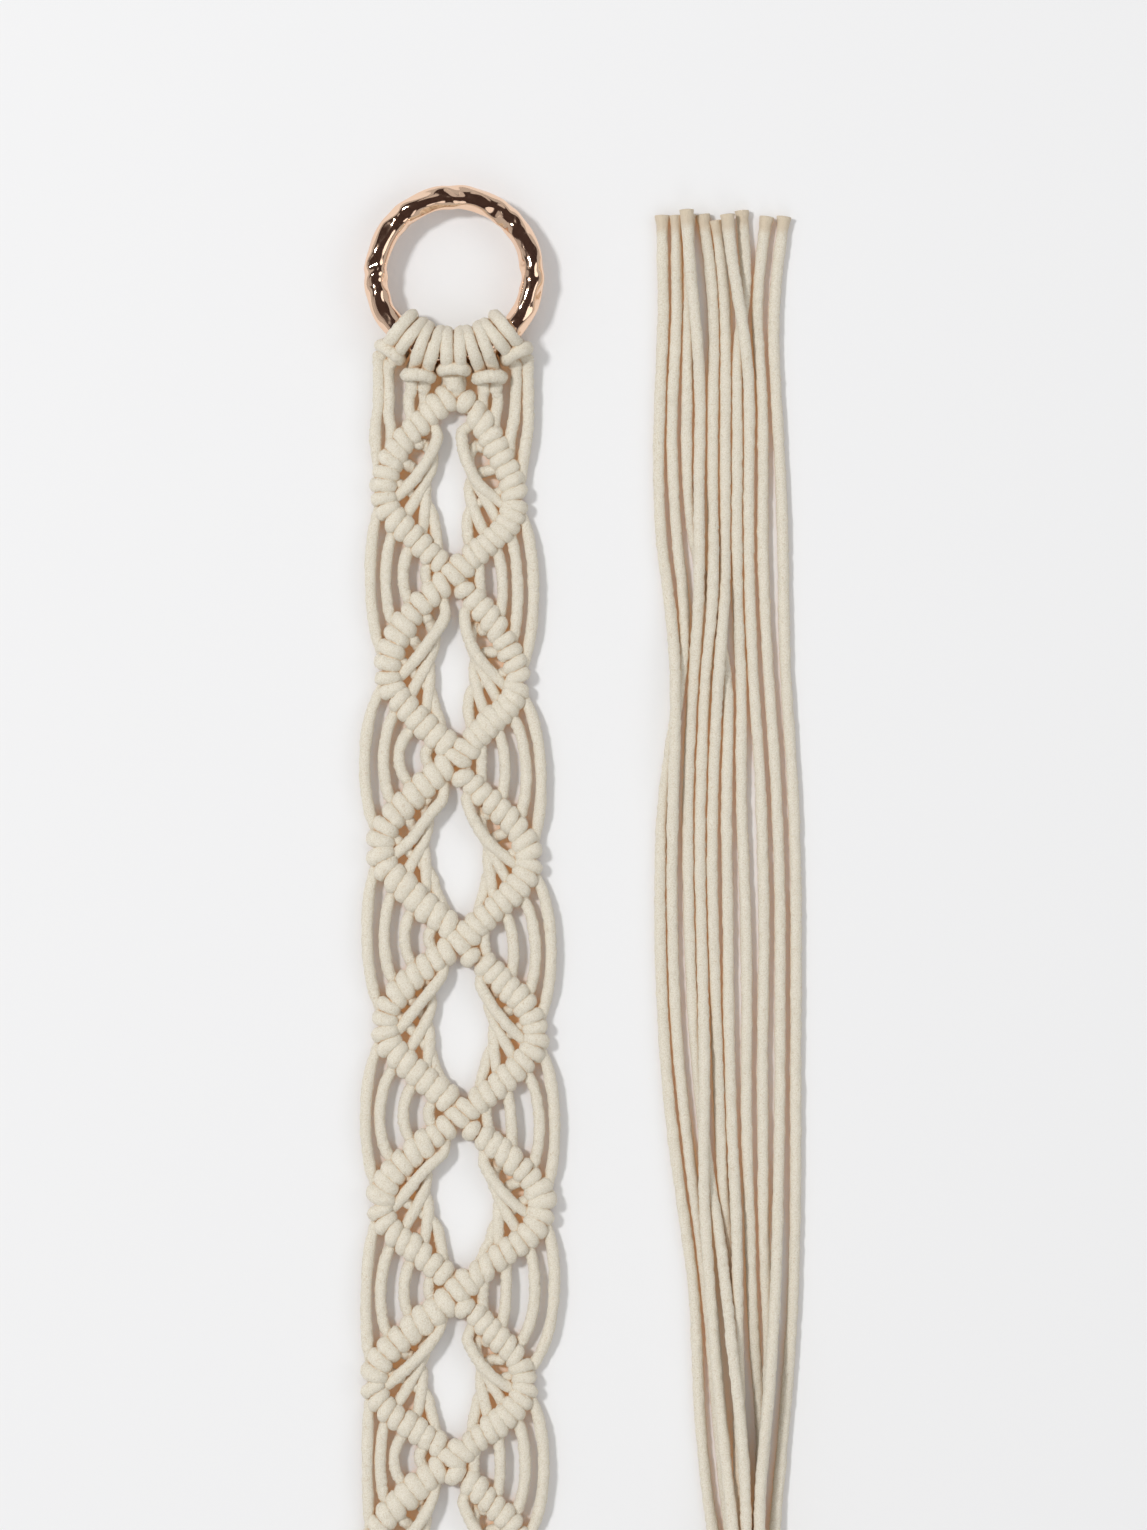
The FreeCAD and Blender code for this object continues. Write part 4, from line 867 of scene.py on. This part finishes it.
# ------------------------------------------------------------------ strands inside the diamonds
# On each side the first strand runs over the rest, from beside the crossing to the corner. The
# others come out from under the strand before them, along the edge of the open eye.
HALF_STRAND = 1.95
FIRST_STRANDS = [
    [
        [(-52.3, 233), (-54.3, 227), (-57.8, 221), (-62.3, 215)],
        [(-45.4, 234), (-44.8, 228), (-43, 221.5), (-38.6, 213.5)],
    ],
    [
        [(-49.6, 173), (-52.2, 168), (-55.7, 163.3), (-60, 157)],
        [(-44.3, 174), (-43.8, 168), (-42, 162), (-38, 155)],
    ],
    [
        [(-50.4, 111), (-54.2, 107.3), (-58.2, 102.3), (-62.5, 95.7)],
        [(-44, 112), (-42, 106), (-39.4, 100.8), (-34, 93.5)],
    ],
    [
        [(-50.6, 53), (-54.3, 48.3), (-58.7, 43), (-62.3, 38.4)],
        [(-39.5, 50.5), (-37.3, 45.5), (-33.6, 40), (-28.6, 34)],
    ],
    [
        [(-50, -6.5), (-54.3, -9.7), (-59, -14.3), (-63.3, -20)],
        [(-38.3, -8.5), (-36.2, -13.7), (-32.8, -18.3), (-27, -25)],
    ],
    [
        [(-51.5, -65), (-56, -71), (-60.8, -76.3), (-66, -81)],
        [(-43.8, -67.5), (-41.7, -72.7), (-38.2, -77.7), (-32.7, -83.5)],
    ],
    [
        [(-54, -121), (-57, -127), (-61, -132.5), (-66, -138)],
        [(-45.3, -121), (-43, -128), (-39.5, -133.5), (-34, -140)],
    ],
]
FIRST_HEIGHTS = (4.6, 5.6, 6.0, 5.6)
EYE_EDGES = [
    [(-52.2, -45.2), (-54.9, -44.6), (-52.2, -45.3)], [(-51.5, -44.6), (-53.6, -43.1), (-52.3, -44.9)],
    [(-53.7, -41.0), (-55.1, -38.3), (-51.9, -39.3)], [(-52.8, -38.3), (-53.7, -36.4), (-52.3, -39.1)],
    [(-54.2, -37.0), (-54.1, -34.7), (-50.4, -37.2)], [(-55.0, -42.6), (-56.0, -40.8), (-53.5, -42.2)],
    [(-54.5, -43.4), (-55.5, -41.5), (-53.0, -43.0)],
]
# for the second strand to the fourth: how far down the diamond each turns along the eye's edge, how
# high it lies there, and how far it has come towards the eye a little above
TURNS_AT = (0.40, 0.57, 0.74)
TURN_HEIGHTS = (3.7, 3.2, 2.6)
LEANS = (1.3, 0.6, 0.9)

for number in range(1, 8):
    yarn = Yarn()
    top = CROSSINGS[number - 1][1]
    foot = CROSSINGS[number][1]
    for side in (-1, 1):
        half = 0 if side < 0 else 1
        starts = inner_ports[number, side, "upper"]
        ends = inner_ports[number, side, "lower"]
        spots = FIRST_STRANDS[number - 1][half]
        route = [starts[0]] + [(x, y, z) for (x, y), z in zip(spots, FIRST_HEIGHTS)] + [ends[0]]
        yarn.tube(soft_line(route, 0.8), HALF_STRAND, swell=0.04)
        for k in range(3):
            start = starts[k + 1]
            end = ends[k + 1]
            edge = EYE_EDGES[number - 1][k][half]
            turn = np.array((edge + side * HALF_STRAND, top + (foot - top) * TURNS_AT[k]))
            above = np.append(turn + (side * LEANS[k], 5.2), 2.1)
            under = np.append(start[:2] * 0.4 + above[:2] * 0.6 + (0, 1.0), 2.0)
            below = np.append(turn * 0.42 + end[:2] * 0.58 - (side * 0.5, 0), TURN_HEIGHTS[k] + 0.3)
            turn = np.append(turn, TURN_HEIGHTS[k] - 0.4)
            route = [start, lumps[number, side, "upper"][k + 1], under, above, turn, below, end]
            yarn.tube(soft_line(route, 0.8), HALF_STRAND, swell=0.04)
    strands = yarn.build("strands_%d" % number, cream_cotton)
    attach(strands, "band")
    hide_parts("diamond_%d_inner_strands" % number)

# ------------------------------------------------------------------ side loops
# Beside a crossing the same strands bow out past the edge, one inside the other. The outermost runs
# from corner to corner. The table says how far across each lies at the crossing, outermost first.
HALF_LOOP = 1.92
LOOP_HEIGHT = 4.6
LOOP_REACHES = [
    [(-75.4, -70.3, -64.5, -57.0), (-21.1, -26.4, -31.4, -39.0)],
    [(-77.3, -71.0, -65.9, -57.0), (-18.7, -23.6, -30.6, -38.4)],
    [(-76.5, -70.8, -64.0, -56.0), (-15.3, -20.5, -27.8, -37.3)],
    [(-77.0, -72.3, -64.4, -56.0), (-14.1, -19.2, -28.6, -36.6)],
    [(-76.8, -72.0, -64.2, -56.0), (-14.3, -20.8, -30.3, -38.0)],
    [(-76.4, -72.1, -67.5, -59.0), (-17.7, -23.9, -32.2, -41.0)],
]

for number in range(1, 7):
    yarn = Yarn()
    for side in (-1, 1):
        for k in range(4):
            start = outer_ports[number, side, "lower"][k]
            end = outer_ports[number + 1, side, "upper"][3 - k]
            reach = LOOP_REACHES[number - 1][0 if side < 0 else 1][k]
            # pulled this far across, the two middle points of the bow bring it out to its reach
            pull = (8 * reach - start[0] - end[0]) / 6
            drop = start[1] - end[1]
            upper = np.array((pull, start[1] - drop * 0.2, LOOP_HEIGHT))
            lower = np.array((pull, end[1] + drop * 0.2, LOOP_HEIGHT))
            t = np.linspace(0, 1, 60)[:, None]
            bow = (1 - t) ** 3 * start + 3 * t * (1 - t) ** 2 * upper
            bow = bow + 3 * t * t * (1 - t) * lower + t ** 3 * end
            yarn.tube(bow, HALF_LOOP, swell=0.05)
    side_loops = yarn.build("loops_%d" % number, cream_cotton)
    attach(side_loops, "band")
    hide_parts("side_loops_%d" % number)

# ------------------------------------------------------------------ neck
# The ten strands between the lark's heads and the first diamond, left to right. Nothing holds them
# but the knots at their ends.
NECK_ROUTES = [
    [(-72.4, 243), (-73.9, 234), (-73.6, 227)],
    [(-69.0, 244), (-69.6, 238), (-68.0, 233)],
    [(-62.7, 244.5), (-62.5, 240), (-61.3, 237)],
    [(-57.8, 246.5), (-57.0, 243)],
    [(-50.6, 248.5)],
    [(-45.6, 248.5)],
    [(-37.6, 246.5), (-38.2, 243)],
    [(-32.8, 244.5), (-33.3, 240), (-34.5, 236)],
    [(-27.0, 244), (-27.4, 237), (-29.2, 231)],
    [(-22.9, 244), (-22.8, 234), (-24.2, 226)],
]
NECK_HEIGHT = 4.0

yarn = Yarn()
for strand, spots in enumerate(NECK_ROUTES, start=1):
    start = exits[strand]
    side = -1 if strand <= 5 else 1
    knot = 5 - strand if side < 0 else strand - 6
    if knot > 0:
        end = outer_ports[1, side, "upper"][knot - 1]
    else:
        end = np.array((CROSSINGS[0][0] + side * 1.5, CROSSINGS[0][1] + 0.5, 3.4))
    route = [start + (0, 1.6, 0.2), start - (0, 1.0, 0)] + [(x, y, NECK_HEIGHT) for x, y in spots] + [end]
    yarn.tube(soft_line(route, 0.8), HALF_STRAND, swell=0.05)
neck = yarn.build("neck", cream_cotton)
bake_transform(neck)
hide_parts("neck_cords")

# ------------------------------------------------------------------ arm and pocket knots
# Overhand knots, each tied in two neighbouring cords at once. Two rounds of five, staggered where
# the net lies flat, are what holds the pot.
ARM_PLACES = [(29.0, -289.0), (40.0, -305.0), (50.5, -289.0), (61.0, -305.0), (71.5, -289.0)]
POCKET_PLACES = [(34.0, -247.0), (45.0, -231.0), (56.0, -247.0), (66.5, -231.0), (77.5, -247.0)]
KNOT_SIZE = (3.9, 4.3, 3.7)
KNOT_HEIGHT = 6.3
HALF_TIGHT_CORD = 1.75


def overhand(yarn, x, y):
    """A three-lobed knot tied in two cords, which lie side by side through it."""
    # one draw goes by for each knot, and the later ones count on it
    dice.random()
    t = np.linspace(0, 2 * math.pi, 90, endpoint=False)
    for shift in (-1.0, 1.0):
        across = (np.sin(t) + 2 * np.sin(2 * t)) / 3 * KNOT_SIZE[0]
        along = np.sin(3 * t) * KNOT_SIZE[1] + shift * 1.9 * np.cos(t + 0.6)
        height = (np.cos(t) - 2 * np.cos(2 * t)) / 3 * KNOT_SIZE[2]
        line = np.stack([x + across, y + along, KNOT_HEIGHT + height], -1)
        yarn.tube(line, HALF_TIGHT_CORD, closed=True, sides=12, swell=0.04, up=(0, 1, 0))


for name, places in (("arm_knots", ARM_PLACES), ("pocket_knots", POCKET_PLACES)):
    yarn = Yarn()
    for x, y in places:
        overhand(yarn, x, y)
    knots = yarn.build("tied_" + name, cream_cotton)
    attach(knots, "band")
    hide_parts(name)

# ------------------------------------------------------------------ gathering wrap
# One more length of the same cord, wound six times round all ten strands and drawn tight, just
# above the fringe.
WRAP_MIDDLE = (50.3, -187, 9.6)
WRAP_TURNS = 6
WRAP_RADIUS = 7.7
HALF_WRAP_LENGTH = 10.1
# the gathered bundle is a little wider than it is high
WRAP_WIDENING = 2.3

turn = np.linspace(0, WRAP_TURNS * 2 * math.pi, WRAP_TURNS * 48)
across = WRAP_WIDENING * np.tanh(np.cos(turn) * 2.2) + WRAP_RADIUS * np.cos(turn)
along = np.linspace(-HALF_WRAP_LENGTH, HALF_WRAP_LENGTH, len(turn))
line = np.stack([across, along, WRAP_RADIUS * np.sin(turn)], -1) + WRAP_MIDDLE
wrap = Yarn().tube(line, up=(0, 1, 0)).build("wound_wrap", cream_cotton)
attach(wrap, "band")
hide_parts("gathering_wrap")

# ------------------------------------------------------------------ floor
# A plain pale table top. In the narrow gaps between cords it is painted a warm brown shade and given a warm
# glow, painted light standing in for light that has passed between them.
FLOOR_SIZE = 6.0
FLOOR_PALE = (0.845, 0.845, 0.85)
# painted shade and painted glow for the floor in the narrow gaps between cords
FLOOR_PAINTED_SHADE = (0.72, 0.42, 0.18)
FLOOR_PAINTED_GLOW = (0.24, 0.13, 0.05)

bpy.ops.mesh.primitive_plane_add(size=FLOOR_SIZE, location=(0, 0, 0))
floor = bpy.context.object
floor.name = "floor"
pale = Finish("pale_floor")
# painted shade and glow: where cords shut the floor in, its colour turns warm brown and it glows
free_of_painted_light = pale.painted_shade_mask(0.009).between(0.0, 0.3)
pale.feed("Base Color", pale.blend(free_of_painted_light, FLOOR_PAINTED_SHADE, FLOOR_PALE))
pale.feed("Emission Color", pale.blend(free_of_painted_light, FLOOR_PAINTED_GLOW, (0, 0, 0)))
pale.feed("Emission Strength", 1.0)
pale.feed("Roughness", 0.9)
pale.feed("Specular IOR Level", 0.1)
floor.data.materials.append(pale.material)

# ------------------------------------------------------------------ light
# A soft key lamp from the upper left and wide, weak fills from all round, in a white room. A dark
# card high over the work is there only for the polished ring to reflect.
LIT_PLACE = (-0.01, 0.12, 0)
LAMPS = {
    "key": ((-1.95, 1.0, 3.2), 0.55, 70),
    "fill_left": ((-2.4, -0.7, 2.2), 1.8, 3),
    "fill_right": ((2.4, 0.1, 2.2), 1.8, 11),
    "fill_top": ((0.2, 2.7, 2.2), 1.8, 4),
    "fill_foot": ((0.3, -2.4, 2.2), 1.8, 7),
}
CARD_PLACE = (0, 0.25, 4.6)
CARD_RADIUS = 8.6
ROOM_BRIGHTNESS = 0.5

for name, (place, size, power) in LAMPS.items():
    lamp = bpy.data.lights.new(name, "AREA")
    lamp.shape = "DISK"
    lamp.size = size
    lamp.energy = power
    light = bpy.data.objects.new(name, lamp)
    light.location = place
    light.rotation_euler = (Vector(LIT_PLACE) - Vector(place)).to_track_quat("-Z", "Y").to_euler()
    bpy.context.scene.collection.objects.link(light)

bpy.ops.mesh.primitive_circle_add(radius=CARD_RADIUS, fill_type="NGON", location=CARD_PLACE)
card = bpy.context.object
card.name = "dark_card"
dark = Finish("dark_card")
dark.feed("Base Color", (0.09, 0.06, 0.055, 1))
dark.feed("Roughness", 1.0)
dark.feed("Specular IOR Level", 0.0)
card.data.materials.append(dark.material)
card.visible_camera = False
card.visible_diffuse = False
card.visible_shadow = False
card.visible_transmission = False

world = bpy.data.worlds.new("world")
bpy.context.scene.world = world
world.use_nodes = True
background = world.node_tree.nodes["Background"]
background.inputs["Color"].default_value = (1, 1, 1, 1)
background.inputs["Strength"].default_value = ROOM_BRIGHTNESS
bpy.context.scene.view_settings.view_transform = "Standard"
bpy.context.scene.view_settings.look = "None"
